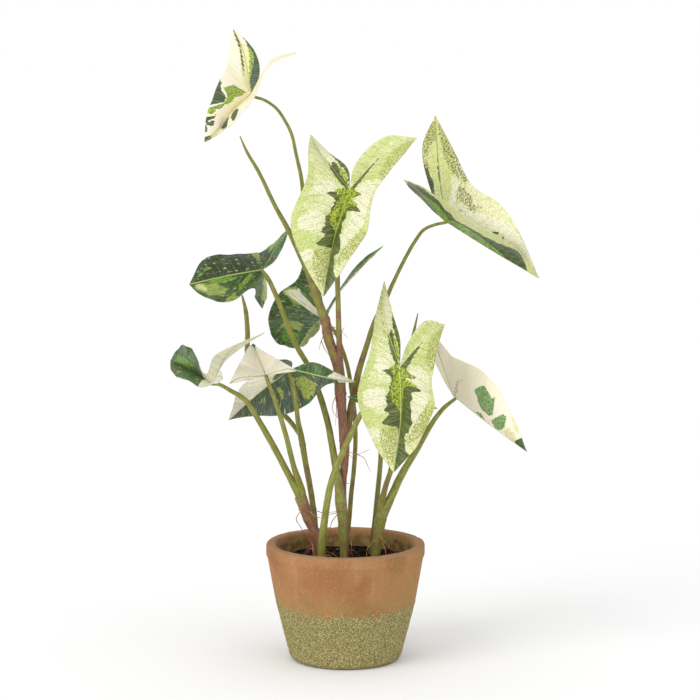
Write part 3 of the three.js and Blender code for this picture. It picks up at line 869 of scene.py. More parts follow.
def lime_print(widen: float) -> tuple[Area, ...]:
    """Gives the markings that the two lime leaves share.

    Args:
        widen: share of the width by which the dark edge of the second half moves out.

    Returns:
        A jagged dark patch on the midrib, bright inside, pale fields and dark lobe margins.
    """
    return (
        Area(DARK, 0, BODY, (
            (0.42, RIB, 0.0), (0.44, RIB, 0.12), (0.465, RIB, 0.35), (0.485, RIB, 0.48), (0.505, RIB, 0.5),
            (0.52, RIB, 0.42), (0.54, RIB, 0.28), (0.57, RIB, 0.26), (0.59, RIB, 0.38), (0.61, RIB, 0.38),
            (0.64, RIB, 0.28), (0.69, RIB, 0.3), (0.73, RIB, 0.32), (0.76, RIB, 0.24), (0.82, RIB, 0.23),
            (0.88, RIB, 0.2), (0.9, RIB, 0.3), (0.91, RIB, 0.46), (0.93, RIB, 0.48), (0.945, RIB, 0.26),
            (0.96, RIB, 0.12), (1.02, RIB, 0.06),
        )),
        Area(DARK, 1, BODY, (
            (0.0, RIB, RIM), (0.2, RIB, RIM), (0.23, RIB, 0.85), (0.27, RIB, 0.6), (0.33, RIB, 0.5),
            (0.37, RIB, 0.38), (0.4, RIB, 0.4), (0.43, RIB, 0.56), (0.48, RIB, 0.54),
            (0.53, RIB, 0.42 + widen), (0.58, RIB, 0.26 + widen), (0.62, RIB, 0.28 + widen),
            (0.67, RIB, 0.2 + widen), (0.71, RIB, 0.18 + widen), (0.74, RIB, 0.28 + widen),
            (0.76, RIB, 0.26 + widen), (0.78, RIB, 0.2 + widen), (0.81, RIB, 0.24 + widen),
            (0.835, RIB, 0.7), (0.85, RIB, 0.74), (0.87, RIB, 0.5), (0.89, RIB, 0.3), (0.92, RIB, 0.16), (0.945, RIB, 0.5), (0.97, RIB, 0.56),
            (0.985, RIB, 0.3), (1.02, RIB, 0.1),
        )),
        Area(LIME, 0, BODY, (
            (0.56, RIB, 0.0), (0.62, RIB, 0.1), (0.68, RIB, 0.2), (0.74, RIB, 0.22), (0.82, RIB, 0.18),
            (0.9, RIB, 0.16), (0.93, RIB, 0.22), (0.95, RIB, 0.3), (0.97, RIB, 0.28), (1.0, RIB, 0.1),
        )),
        Area(LIME, 1, BODY, (
            (0.34, RIB, 0.0), (0.5, RIB, 0.06), (0.7, RIB, 0.1), (0.82, RIB, 0.16), (0.86, RIB, 0.36),
            (0.875, RIB, 0.66), (0.89, RIB, 0.55), (0.91, RIB, 0.16), (0.94, RIB, 0.3), (0.955, RIB, 0.52),
            (0.975, RIB, 0.5), (1.0, RIB, 0.12),
        )),
        Area(OLIVE, 0, BODY, ((0.12, 0.0, 0.9), (0.2, 0.05, 0.75), (0.34, 0.06, 0.72), (0.44, 0.1, 0.6))),
        Area(OLIVE, 0, BODY, ((0.56, RIB, 0.24), (0.7, RIB, 0.28), (0.85, RIB, 0.2), (0.95, RIB, 0.3))),
        Area(FRESH, 0, BODY, ((0.4, 0.1, 0.5), (0.5, 0.05, 0.98), (0.56, 0.4, 0.98), (0.62, 0.7, 0.98))),
        Area(FRESH, 0, BODY, ((0.62, 0.86, RIM), (0.8, 0.8, RIM), (1.0, 0.84, RIM), (1.2, 0.8, RIM))),
        Area(FRESH, 1, BODY, ((0.52, 0.84, RIM), (0.62, 0.6, RIM), (0.72, 0.7, RIM), (0.78, 0.9, RIM))),
        Area(OLIVE, 1, BODY, ((0.34, 0.5, 0.8), (0.42, 0.6, 0.9), (0.6, 0.7, RIM), (0.74, 0.84, RIM))),
        Area(PALE, 0, BODY, ((0.9, 0.5, 0.5), (0.93, 0.3, 0.75), (0.98, 0.28, 0.72), (1.02, 0.5, 0.5))),
        Area(PALE, 0, BODY, ((0.62, 0.4, 0.4), (0.65, 0.34, 0.85), (0.76, 0.32, 0.85), (0.8, 0.5, 0.5))),
        Area(PALE, 0, BODY, ((0.38, 0.7, 0.7), (0.42, 0.55, RIM), (0.46, 0.6, RIM), (0.48, 0.8, 0.8))),
        Area(PALE, 1, BODY, (
            (0.5, 0.55, 0.7), (0.6, 0.4, 0.8), (0.75, 0.45, 0.85), (0.9, 0.45, 0.9), (1.05, 0.3, 0.9),
            (1.1, 0.5, 0.5),
        )),
        Area(DARK, 0, LOBE, (
            (1.02, 0.9, 0.9), (1.08, 0.8, RIM), (1.2, 0.78, RIM), (1.3, 0.62, RIM), (1.4, 0.7, RIM),
            (1.5, 0.8, RIM), (1.58, 1.0, 1.0),
        )),
        Area(DARK, 0, LOBE, (
            (1.0, RIB, 0.5), (1.1, RIB, 0.4), (1.2, RIB, 0.3), (1.26, RIB, 0.42), (1.31, 0.1, 0.5),
            (1.36, 0.4, 0.4),
        )),
        Area(LIME, 0, LOBE, ((1.03, 0.4, 0.4), (1.1, 0.35, 0.75), (1.22, 0.35, 0.72), (1.3, 0.5, 0.5))),
        Area(DARK, 0, BODY, (
            (1.0, RIB, 0.14), (1.1, RIB, 0.2), (1.2, RIB, 0.2), (1.28, RIB, 0.12), (1.34, RIB, 0.0),
        )),
        Area(OLIVE, 0, BODY, ((1.3, 0.2, 0.3), (1.5, 0.26, 0.42), (1.7, 0.3, 0.5), (1.85, 0.4, 0.5))),
        Area(PALE, 0, LOBE, ((1.34, 0.1, 0.5), (1.5, 0.05, 0.7), (1.7, 0.1, 0.8), (1.85, 0.3, 0.5))),
        Area(DARK, 1, LOBE, ((1.0, RIB, 0.14), (1.12, RIB, 0.08), (1.2, RIB, 0.0))),
        Area(DARK, 1, BODY, ((1.0, RIB, 0.22), (1.1, RIB, 0.2), (1.22, 0.04, 0.16), (1.34, 0.1, 0.1))),
        Area(FRESH, 1, LOBE, ((1.1, 0.2, 0.8), (1.25, 0.1, 0.9), (1.5, 0.2, 0.8), (1.7, 0.4, 0.6))),
        Area(OLIVE, 1, BODY, ((1.12, 0.8, RIM), (1.3, 0.5, RIM), (1.6, 0.4, RIM), (1.9, 0.4, RIM))),
        Area(FRESH, 1, BODY, ((1.08, 0.2, 0.7), (1.3, 0.2, 0.9), (1.6, 0.3, 1.0), (1.9, 0.4, RIM))),
    )


TOP_LEFT = Blade(
    name="leaf_top_left", slot="leaf_cream", finish=CREAM_LEAF, bulge=-4,
    junction=(-92, 0, 565), midrib=(-111, -23, 545), tip=(-135, -60, 520),
    halves=(
        Half(
            ((-134, -43, 543), (-124, -23, 574), (-116, 5, 591), (-114, 25, 607), (-111, 34, 628)),
            ((-84, 8, 583), (-91, 29, 608)),
        ),
        Half(
            ((-119, -39, 529), (-105, -56, 541), (-91, -35, 558), (-72, -43, 593), (-48, -38, 605)),
            ((-84, -9, 578), (-69, -20, 600)),
        ),
    ),
    areas=(
        Area(DARK, 0, BODY, ((0.0, RIB, RIM), (0.06, RIB, RIM), (0.09, RIB, 0.7), (0.12, RIB, 0.2))),
        Area(DARK, 0, BODY, ((0.15, 0.95, 0.95), (0.18, 0.78, RIM), (0.22, 0.86, RIM), (0.24, 1.0, 1.0))),
        Area(DARK, 0, BODY, ((0.25, 0.6, 0.6), (0.27, 0.5, 0.92), (0.305, 0.46, 0.88), (0.32, 0.6, 0.6))),
        Area(DARK, 0, BODY, (
            (0.3, 0.98, 1.2), (0.34, 0.8, RIM), (0.37, 0.62, 0.92), (0.4, 0.58, 0.74), (0.415, 0.62, 0.62),
        )),
        Area(DARK, 0, BODY, (
            (0.51, 1.0, 1.0), (0.53, 0.8, RIM), (0.56, 0.66, RIM), (0.6, 0.58, RIM), (0.64, 0.6, RIM),
            (0.67, 0.66, RIM), (0.69, 0.8, RIM), (0.74, 0.9, RIM), (0.78, 0.93, RIM), (0.82, 1.0, 1.0),
        )),
        Area(LIME, 0, BODY, ((0.41, 0.84, 0.84), (0.43, 0.74, RIM), (0.48, 0.72, 1.0), (0.5, 0.8, 0.8))),
        Area(LIME, 0, BODY, (
            (0.48, 0.66, 0.66), (0.5, 0.58, 0.86), (0.54, 0.52, 0.66), (0.6, 0.4, 0.56), (0.66, 0.34, 0.56),
            (0.7, 0.34, 0.66), (0.74, 0.32, 0.82), (0.77, 0.28, 0.74), (0.81, 0.2, 0.66), (0.85, 0.18, 0.62),
            (0.88, 0.2, 0.4), (0.92, 0.14, 0.24), (0.96, 0.08, 0.08),
        )),
        Area(DARK, 0, BODY, (
            (1.12, 0.3, 0.3), (1.2, 0.22, 0.32), (1.3, 0.2, 0.34), (1.4, 0.2, 0.33), (1.5, 0.16, 0.32),
            (1.6, 0.1, 0.3), (1.75, 0.04, 0.42), (1.9, RIB, 0.6), (2.0, RIB, 0.6),
        )),
        Area(FRESH, 0, BODY, ((1.0, RIB, 0.34), (1.2, 0.0, 0.42), (1.4, 0.0, 0.4), (1.7, 0.0, 0.3))),
        Area(FRESH, 0, LOBE, ((1.0, RIB, 0.3), (1.2, RIB, 0.3), (1.4, RIB, 0.45), (1.65, 0.1, 0.5))),
        Area(LIME, 0, LOBE, (
            (1.18, 0.08, 0.2), (1.3, 0.2, 0.42), (1.4, 0.32, 0.66), (1.5, 0.4, 0.76), (1.56, 0.5, 0.7),
            (1.6, 0.55, 0.55),
        )),
        Area(DARK, 0, LOBE, (
            (1.02, 0.1, 1.2), (1.1, 0.12, RIM), (1.2, 0.14, RIM), (1.3, 0.36, RIM), (1.4, 0.48, RIM),
            (1.5, 0.52, RIM), (1.6, 0.5, RIM), (1.7, 0.66, RIM), (1.8, 0.85, RIM), (1.88, 1.0, 1.0),
        )),
        Area(DARK, 1, BODY, ((0.34, 0.6, 0.6), (0.41, 0.45, 0.95), (0.5, 0.45, 0.95), (0.58, 0.6, 0.6))),
        Area(DARK, 1, BODY, ((0.62, 0.7, 0.7), (0.67, 0.45, 0.92), (0.75, 0.5, 0.92), (0.81, 0.7, 0.7))),
        Area(DARK, 1, BODY, ((0.0, RIB, RIM), (0.08, RIB, RIM), (0.14, RIB, 0.3))),
        Area(FRESH, 1, BODY, ((0.1, RIB, RIM), (0.3, RIB, 0.7), (0.7, RIB, 0.6), (1.0, RIB, 0.5))),
    ),
)
TOP_CENTRE = Blade(
    name="leaf_top_centre", slot="leaf_lime", finish=LIME_LEAF, bulge=-5,
    junction=(4, -28, 473), midrib=(-11, -42, 425), tip=(-21, -65, 372),
    halves=(
        Half(
            ((-39, -54, 402), (-53, -39, 442), (-37, -30, 486), (-36, -22, 511), (-34, -3, 525)),
            ((3, -24, 492), (-16, 1, 507)),
        ),
        Half(
            ((-1, -65, 401), (20, -67, 435), (29, -51, 473), (54, -54, 506), (69, -45, 524)),
            ((9, -28, 496), (37, -34, 524)),
        ),
    ),
    areas=lime_print(widen=0.04),
)
TOP_RIGHT = Blade(
    name="leaf_top_right", slot="leaf_cream", finish=SPECKLED_LEAF, bulge=3,
    junction=(98, 0, 440), midrib=(143, -20, 413), tip=(188, -44, 388),
    halves=(
        Half(
            ((170, -36, 430), (152, -15, 457), (125, 8, 475), (109, 19, 505), (89, 28, 543)),
            ((84, 6, 470), (76, 20, 512)),
        ),
        Half(
            ((162, -57, 420), (128, -59, 440), (97, -27, 461), (75, -40, 476), (56, -50, 484)),
            ((87, 0, 450), (64, -22, 473)),
        ),
    ),
    areas=(
        Area(DARK, 1, BODY, (
            (0.13, 0.1, 0.1), (0.16, RIB, 0.4), (0.2, RIB, 0.62), (0.25, RIB, 0.9), (0.3, RIB, 1.0),
            (0.35, RIB, 0.75), (0.4, RIB, 0.6), (0.5, RIB, 0.45), (0.6, RIB, 0.4), (0.8, RIB, 0.38),
            (0.9, RIB, 0.34), (0.95, RIB, 0.5), (1.0, 0.1, 0.5), (1.1, 0.3, 0.76), (1.2, 0.32, 0.8),
            (1.3, 0.2, 0.8), (1.4, 0.05, 0.85), (1.6, RIB, 0.9), (1.85, RIB, 1.0), (1.92, 0.3, 0.3),
        )),
        Area(LIME, 1, BODY, (
            (0.36, 0.04, 0.04), (0.45, 0.02, 0.12), (0.6, 0.04, 0.2), (0.72, 0.03, 0.26), (0.88, 0.08, 0.28),
            (0.96, 0.1, 0.16), (1.0, RIB, 0.3), (1.1, RIB, 0.42), (1.2, RIB, 0.4), (1.3, RIB, 0.25),
            (1.42, RIB, 0.04),
        )),
        Area(DARK, 1, LOBE, ((1.0, RIB, RIM), (1.4, RIB, 0.8), (1.8, RIB, RIM))),
        Area(FRESH, 1, BODY, WHOLE_BODY),
        Area(DARK, 0, BODY, (
            (0.525, 0.34, 0.34), (0.55, 0.28, 0.54), (0.575, 0.36, 0.44), (0.6, 0.44, 0.44),
        )),
        Area(DARK, 0, BODY, ((0.455, 0.42, 0.42), (0.48, 0.36, 0.56), (0.5, 0.44, 0.44))),
        Area(DARK, 0, LOBE, (
            (1.16, 0.9, 0.9), (1.22, 0.66, RIM), (1.3, 0.64, RIM), (1.37, 0.8, RIM), (1.42, 1.0, 1.0),
        )),
        Area(OLIVE, 0, LOBE, (
            (1.12, 0.5, RIM), (1.4, 0.8, RIM), (1.6, 0.5, RIM), (1.7, RIB, RIM), (1.9, RIB, RIM),
        )),
        Area(FRESH, 0, LOBE, ((1.2, 0.0, 0.6), (1.5, 0.0, 0.9), (2.0, RIB, RIM))),
        Area(DARK, 0, LOBE, ((1.0, RIB, 0.2), (1.2, RIB, 0.14), (1.4, RIB, 0.08), (1.5, RIB, 0.0))),
        Area(OLIVE, 0, BODY, (
            (1.08, 0.85, 1.1), (1.2, 0.7, 1.1), (1.32, 0.5, RIM), (1.45, 0.3, RIM), (1.6, 0.35, RIM),
            (1.8, 0.3, RIM), (1.9, 0.5, RIM),
        )),
        Area(OLIVE, 0, BODY, ((0.83, 0.69, 0.75), (0.9, 0.46, 0.52), (0.95, 0.34, 0.4), (0.97, 0.3, 0.3))),
        Area(OLIVE, 0, BODY, ((0.84, 0.5, 0.6), (0.95, 0.55, 0.8), (1.05, 0.5, 0.8), (1.1, 0.6, 0.7))),
        Area(FRESH, 0, BODY, ((1.1, 0.1, 0.5), (1.4, 0.0, 1.0), (1.8, RIB, RIM), (2.0, RIB, RIM))),
        Area(PALE, 0, BODY, (
            (0.1, 0.7, 0.95), (0.3, 0.6, 0.95), (0.5, 0.3, 0.9), (0.7, 0.06, 0.66), (0.9, 0.06, 0.5),
            (1.02, 0.1, 0.4), (1.15, 0.4, 0.7), (1.25, 0.5, 0.5),
        )),
    ),
)
UPPER_LEFT = Blade(
    name="leaf_upper_left", slot="leaf_dark", finish=STREAKED_LEAF, bulge=-3, wave=1.2,
    junction=(-81, -6, 393), midrib=(-116, -42, 390), tip=(-150, -72, 385),
    halves=(
        Half(
            ((-137, -50, 407), (-109, -18, 409), (-88, 15, 407), (-75, 39, 412), (-56, 47, 430)),
            ((-70, -4, 401), (-61, 24, 416)),
        ),
        Half(
            ((-141, -48, 373), (-118, -18, 362), (-91, -5, 374), (-90, 23, 361), (-84, 45, 348)),
            ((-79, 11, 381), (-79, 35, 362)),
        ),
    ),
    areas=(
        Area(PALE, 1, BODY, ((0.1, 0.4, 0.4), (0.16, 0.34, 0.7), (0.26, 0.4, 0.72), (0.36, 0.62, 0.74))),
        Area(FRESH, 1, BODY, ((0.08, 0.3, 0.3), (0.2, 0.2, 0.8), (0.45, 0.3, 0.85), (0.62, 0.5, 0.7))),
        Area(LIME, 1, BODY, ((0.24, 0.1, 0.1), (0.32, 0.04, 0.24), (0.55, 0.04, 0.24), (0.7, 0.1, 0.1))),
        Area(LIME, 1, BODY, ((0.74, 0.4, 0.4), (0.79, 0.1, 0.6), (0.84, 0.08, 0.4), (0.88, 0.2, 0.2))),
        Area(FRESH, 1, BODY, ((0.7, 0.8, 0.8), (0.74, 0.6, 1.0), (0.8, 0.8, 1.0), (0.84, 0.9, 0.9))),
        Area(PALE, 1, LOBE, ((1.08, 0.9, 0.9), (1.25, 0.3, 1.0), (1.6, 0.3, 1.0), (1.8, 0.8, 0.8))),
        Area(FRESH, 1, LOBE, ((1.05, 0.5, RIM), (1.4, 0.5, RIM), (1.8, 0.5, RIM))),
        Area(LIME, 0, BODY, ((1.25, 0.4, 0.4), (1.35, 0.3, 1.0), (1.6, 0.3, 0.9), (1.75, 0.5, 0.5))),
        Area(LIME, 0, BODY, ((0.1, 0.5, 0.5), (0.2, 0.42, 0.6), (0.3, 0.46, 0.58), (0.36, 0.5, 0.5))),
        Area(FRESH, 0, BODY, ((0.92, 0.9, 0.9), (0.96, 0.5, RIM), (1.04, 0.6, RIM), (1.08, 0.9, 0.9))),
        Area(DARK, 0, BODY, ((0.1, RIB, 0.7), (0.3, RIB, RIM), (0.88, RIB, RIM), (0.94, RIB, 0.5))),
        Area(DARK, 0, BODY, ((1.02, RIB, 0.6), (1.1, RIB, RIM), (1.24, RIB, RIM), (1.3, RIB, 0.3))),
    ),
)
LOWER_LEFT = Blade(
    name="leaf_lower_left", slot="leaf_dark", finish=DARK_LEAF, bulge=-3, wave=1.6,
    junction=(-130, -30, 282), midrib=(-154, 23, 287), tip=(-178, 59, 293),
    halves=(
        Half(
            ((-166, 43, 311), (-153, 12, 310), (-137, -27, 292), (-125, -57, 315), (-78, -61, 337)),
            ((-121, -29, 301), (-102, -47, 320)),
        ),
        Half(
            ((-175, 32, 286), (-160, -9, 284), (-139, -50, 283), (-123, -74, 290), (-117, -94, 297)),
            ((-127, -48, 290), (-121, -66, 300)),
        ),
    ),
    areas=(
        Area(PALE, 0, BODY, ((0.84, RIB, 0.2), (0.9, RIB, RIM), (2.0, RIB, RIM))),
        Area(PALE, 1, BODY, ((0.84, RIB, 0.2), (0.9, RIB, 0.6), (1.0, RIB, RIM), (2.0, RIB, RIM))),
        Area(PALE, 0, LOBE, WHOLE_BODY),
        Area(PALE, 1, LOBE, WHOLE_BODY),
        Area(LIME, 0, BODY, ((0.1, 0.3, 0.3), (0.25, 0.2, 0.6), (0.5, 0.2, 0.5), (0.7, 0.4, 0.4))),
    ),
)
SMALL_CREAM = Blade(
    name="leaf_small_cream", slot="leaf_cream", finish=KHAKI_LEAF, bulge=2,
    junction=(-78, -32, 291), midrib=(-86, 8, 302), tip=(-93, 42, 313),
    halves=(
        Half(
            ((-97, 22, 312), (-100, -7, 308), (-106, -35, 299), (-109, -58, 294), (-111, -80, 290)),
            ((-87, -43, 290), (-98, -68, 291)),
        ),
        Half(
            ((-86, 24, 310), (-77, -5, 309), (-63, -32, 305), (-55, -56, 304), (-46, -79, 302)),
            ((-69, -44, 294), (-57, -67, 299)),
        ),
    ),
    areas=(
        Area(DARK, 0, BODY, ((0.0, RIB, RIM), (0.1, RIB, RIM), (0.2, RIB, 0.8), (0.26, RIB, 0.2))),
        Area(DARK, 1, BODY, ((0.0, RIB, RIM), (0.1, RIB, RIM), (0.16, RIB, 0.5), (0.2, RIB, 0.0))),
        Area(DARK, 0, LOBE, ((1.0, RIB, RIM), (1.06, 0.6, RIM), (1.12, 1.2, 1.2))),
        Area(DARK, 1, LOBE, ((1.0, RIB, RIM), (1.06, 0.6, RIM), (1.12, 1.2, 1.2))),
    ),
)
BEHIND_CANE = Blade(
    name="leaf_behind_cane", slot="leaf_dark", finish=DARK_LEAF, bulge=4,
    junction=(-23, 20, 342), midrib=(-36, 48, 326), tip=(-48, 62, 305),
    halves=(
        Half(
            ((-68, 70, 309), (-78, 45, 335), (-67, 22, 365), (-48, 14, 381), (-41, 20, 400)),
            ((-23, 18, 360), (-31, 18, 387)),
        ),
        Half(
            ((-41, 84, 307), (-30, 73, 320), (-22, 37, 336), (-4, 41, 367), (38, 41, 412)),
            ((-12, 18, 358), (14, 32, 396)),
        ),
    ),
    areas=(
        Area(PALE, 0, BODY, (
            (0.975, 0.2, 0.2), (1.0, RIB, 0.36), (1.04, RIB, 0.72), (1.08, 0.05, 0.94), (1.13, 0.28, 0.94),
            (1.18, 0.45, 0.85), (1.24, 0.66, 0.66),
        )),
        Area(FRESH, 0, BODY, ((1.0, 0.5, 0.7), (1.08, 0.5, 1.0), (1.18, 0.6, 1.0), (1.26, 0.8, 0.8))),
        Area(LIME, 0, BODY, ((0.08, 0.3, 0.3), (0.2, 0.3, 0.75), (0.4, 0.3, 0.85), (0.55, 0.6, 0.7))),
        Area(FRESH, 0, BODY, ((0.5, 0.3, 0.3), (0.6, 0.2, 0.8), (0.68, 0.3, 0.7), (0.72, 0.5, 0.5))),
        Area(OLIVE, 0, LOBE, WHOLE_BODY),
        Area(FRESH, 1, BODY, ((0.1, RIB, RIM), (0.5, RIB, RIM), (1.0, RIB, RIM))),
        Area(OLIVE, 1, BODY, ((0.1, 0.3, RIM), (0.5, 0.4, RIM), (1.0, 0.3, RIM))),
        Area(PALE, 1, BODY, ((1.1, 0.8, 0.8), (1.3, 0.75, RIM), (2.0, 0.7, RIM))),
    ),
)
CENTRE_RIGHT = Blade(
    name="leaf_centre_right", slot="leaf_lime", finish=LIME_LEAF, bulge=-5,
    junction=(53, -48, 302), midrib=(54, -55, 251), tip=(47, -70, 201),
    halves=(
        Half(
            ((28, -55, 227), (12, -37, 272), (24, -33, 313), (29, -18, 344), (38, -22, 383)),
            ((53, -47, 328), (46, -35, 353)),
        ),
        Half(
            ((70, -76, 230), (85, -89, 269), (84, -59, 290), (90, -72, 328), (95, -85, 348)),
            ((61, -46, 325), (77, -60, 348)),
        ),
    ),
    areas=lime_print(widen=0.2),
)
RIGHT = Blade(
    name="leaf_right", slot="leaf_cream", finish=MIXED_CREAM_LEAF, bulge=3,
    junction=(108, 12, 264), midrib=(143, -20, 240), tip=(178, -42, 217),
    halves=(
        Half(
            ((162, -41, 256), (136, -30, 294), (109, -3, 304), (101, 15, 310), (84, 3, 334)),
            ((99, 23, 278), (86, 31, 306)),
        ),
        Half(
            ((161, -10, 242), (139, 20, 268), (118, 42, 275), (106, 56, 290), (94, 60, 302)),
            ((103, 26, 273), (96, 48, 289)),
        ),
    ),
    areas=(
        Area(DARK, 0, BODY, ((0.0, RIB, RIM), (0.1, RIB, RIM), (0.13, RIB, 0.95), (0.16, 0.1, 0.3))),
        Area(DARK, 1, BODY, ((0.0, RIB, RIM), (0.1, RIB, RIM), (0.13, RIB, 0.95), (0.16, 0.1, 0.3))),
        Area(FRESH, 0, BODY, ((0.16, RIB, 0.5), (0.22, 0.0, 0.6), (0.3, 0.1, 0.5), (0.34, 0.2, 0.2))),
        Area(FRESH, 0, BODY, ((0.2, 0.9, 0.9), (0.26, 0.8, RIM), (0.3, 0.9, RIM), (0.32, 1.0, 1.0))),
        Area(LIME, 0, BODY, (
            (0.335, 0.4, 0.4), (0.355, 0.16, 0.72), (0.4, 0.04, 0.78), (0.44, 0.06, 0.52),
            (0.475, 0.12, 0.32), (0.49, 0.2, 0.2),
        )),
        Area(LIME, 0, BODY, (
            (0.5, 0.42, 0.42), (0.52, 0.3, 0.6), (0.545, 0.28, 0.86), (0.56, 0.28, 0.7), (0.61, 0.25, 0.75),
            (0.66, 0.28, 0.79), (0.7, 0.4, 0.76), (0.74, 0.48, 0.64), (0.76, 0.55, 0.55),
        )),
        Area(LIME, 0, BODY, ((0.57, RIB, 0.04), (0.63, RIB, 0.15), (0.68, RIB, 0.1), (0.73, RIB, 0.0))),
        Area(OLIVE, 0, BODY, ((0.915, 0.54, 0.6), (0.94, 0.3, 0.54), (0.965, 0.1, 0.34), (0.99, RIB, 0.14))),
    ),
)
DARK_LOW = Blade(
    name="leaf_dark_low", slot="leaf_dark", finish=CREAM_AND_DARK_LEAF, bulge=4,
    junction=(-54, -8, 294), midrib=(-87, 1, 268), tip=(-117, 17, 239),
    halves=(
        Half(
            ((-111, -3, 258), (-106, 24, 270), (-84, 26, 288), (-77, 36, 291), (-67, 46, 296)),
            ((-53, 6, 298), (-58, 30, 298)),
        ),
        Half(
            ((-99, 13, 243), (-64, 5, 246), (-37, -14, 260), (-19, -14, 279), (10, -22, 283)),
            ((-33, -8, 301), (-8, -24, 292)),
        ),
    ),
    areas=(
        Area(PALE, 0, BODY, (
            (0.04, RIB, RIM), (0.7, RIB, RIM), (0.8, 0.2, RIM), (1.0, 0.5, RIM), (2.0, 0.4, RIM),
        )),
        Area(DARK, 1, BODY, ((0.0, RIB, RIM), (0.96, RIB, RIM), (1.0, RIB, 0.3), (1.04, RIB, 0.2))),
        Area(DARK, 1, BODY, ((1.16, 0.2, 0.2), (1.22, RIB, RIM), (1.5, RIB, RIM), (1.6, RIB, RIM))),
        Area(FRESH, 1, BODY, ((0.95, 0.3, 0.8), (1.06, 0.22, 0.9), (1.16, 0.2, 0.9), (1.24, 0.4, 0.8))),
        Area(LIME, 1, BODY, (
            (0.97, 0.4, 0.4), (1.02, 0.3, 0.8), (1.1, 0.24, 0.88), (1.17, 0.3, 0.85), (1.22, 0.5, 0.7),
        )),
        Area(LIME, 1, BODY, ((0.75, 0.26, 0.26), (0.77, 0.2, 0.62), (0.79, 0.26, 0.6), (0.81, 0.4, 0.4))),
        Area(PALE, 1, LOBE, ((1.45, RIB, 0.3), (1.6, RIB, RIM), (2.0, RIB, RIM))),
        Area(PALE, 1, BODY, ((1.6, RIB, 0.3), (1.75, RIB, RIM), (2.0, RIB, RIM))),
    ),
)
HIDDEN = Blade(
    name="leaf_hidden", slot="leaf_dark", finish=DARK_LEAF, bulge=4,
    junction=(41, 14, 262), midrib=(67, 50, 250), tip=(95, 86, 240),
    halves=(
        Half(
            ((70, 79, 250), (39, 67, 262), (24, 44, 271), (-4, 38, 277), (-26, 40, 285)),
            ((28, 16, 268), (0, 30, 278)),
        ),
        Half(
            ((67, 77, 240), (42, 50, 242), (26, 22, 255), (16, 2, 257), (2, 2, 265)),
            ((36, 4, 267), (18, -8, 269)),
        ),
    ),
)
BLADES = (
    TOP_LEFT, TOP_CENTRE, TOP_RIGHT, UPPER_LEFT, LOWER_LEFT, SMALL_CREAM, BEHIND_CANE, CENTRE_RIGHT,
    RIGHT, DARK_LOW, HIDDEN,
)


@dataclass(frozen=True)
class StemFinish:
    """Colours of petioles and canes, with their streaks and leaf scars."""

    name: str = "stem_skin"
    green: str = "93933c"
    green_second: str = "71742a"
    brown: str = "75483a"
    brown_second: str = "967048"
    scar: str = "8f5f45"
    pale: str = "b9bd84"
    roughness: float = 0.48

    def build(self, effects: Effects) -> bpy.types.Material:
        """Makes the stems' material.

        Args:
            effects: the shared masks.

        Returns:
            The material.
        """
        sheet = Skin(self.name)
        place = sheet.place()
        fibre = sheet.scaled(sheet.mark("fibre", "Vector"), (1.0, 1.0, 0.12))
        streak = sheet.noise(fibre, 1.1, 4.0)
        green = sheet.mix(sheet.soft(streak, 0.38, 0.62), paint(self.green), paint(self.green_second))
        brown = sheet.mix(sheet.soft(streak, 0.4, 0.66), paint(self.brown), paint(self.brown_second))
        patchy = sheet.times(sheet.math("SUBTRACT", sheet.noise(place, 0.09, 3.0), 0.5), 1.3)
        age = sheet.soft(sheet.plus(sheet.mark("age"), patchy), 0.25, 0.75)
        colour = sheet.mix(age, green, brown)
        dots = {"Vector": place, "Scale": 1.1, "Size": 0.36, "Density": 0.25}
        specks = sheet.group(effects.speckle, dots)
        colour = sheet.mix(sheet.times(specks, 0.4), colour, paint(self.pale))
        colour = sheet.mix(sheet.mark("scar"), colour, paint(self.scar))
        sheet.relief(sheet.plus(streak, sheet.times(sheet.mark("scar"), -0.6)), 0.4, 0.0005)
        return sheet.close(colour, sheet.plus(sheet.times(streak, 0.2), self.roughness - 0.1))


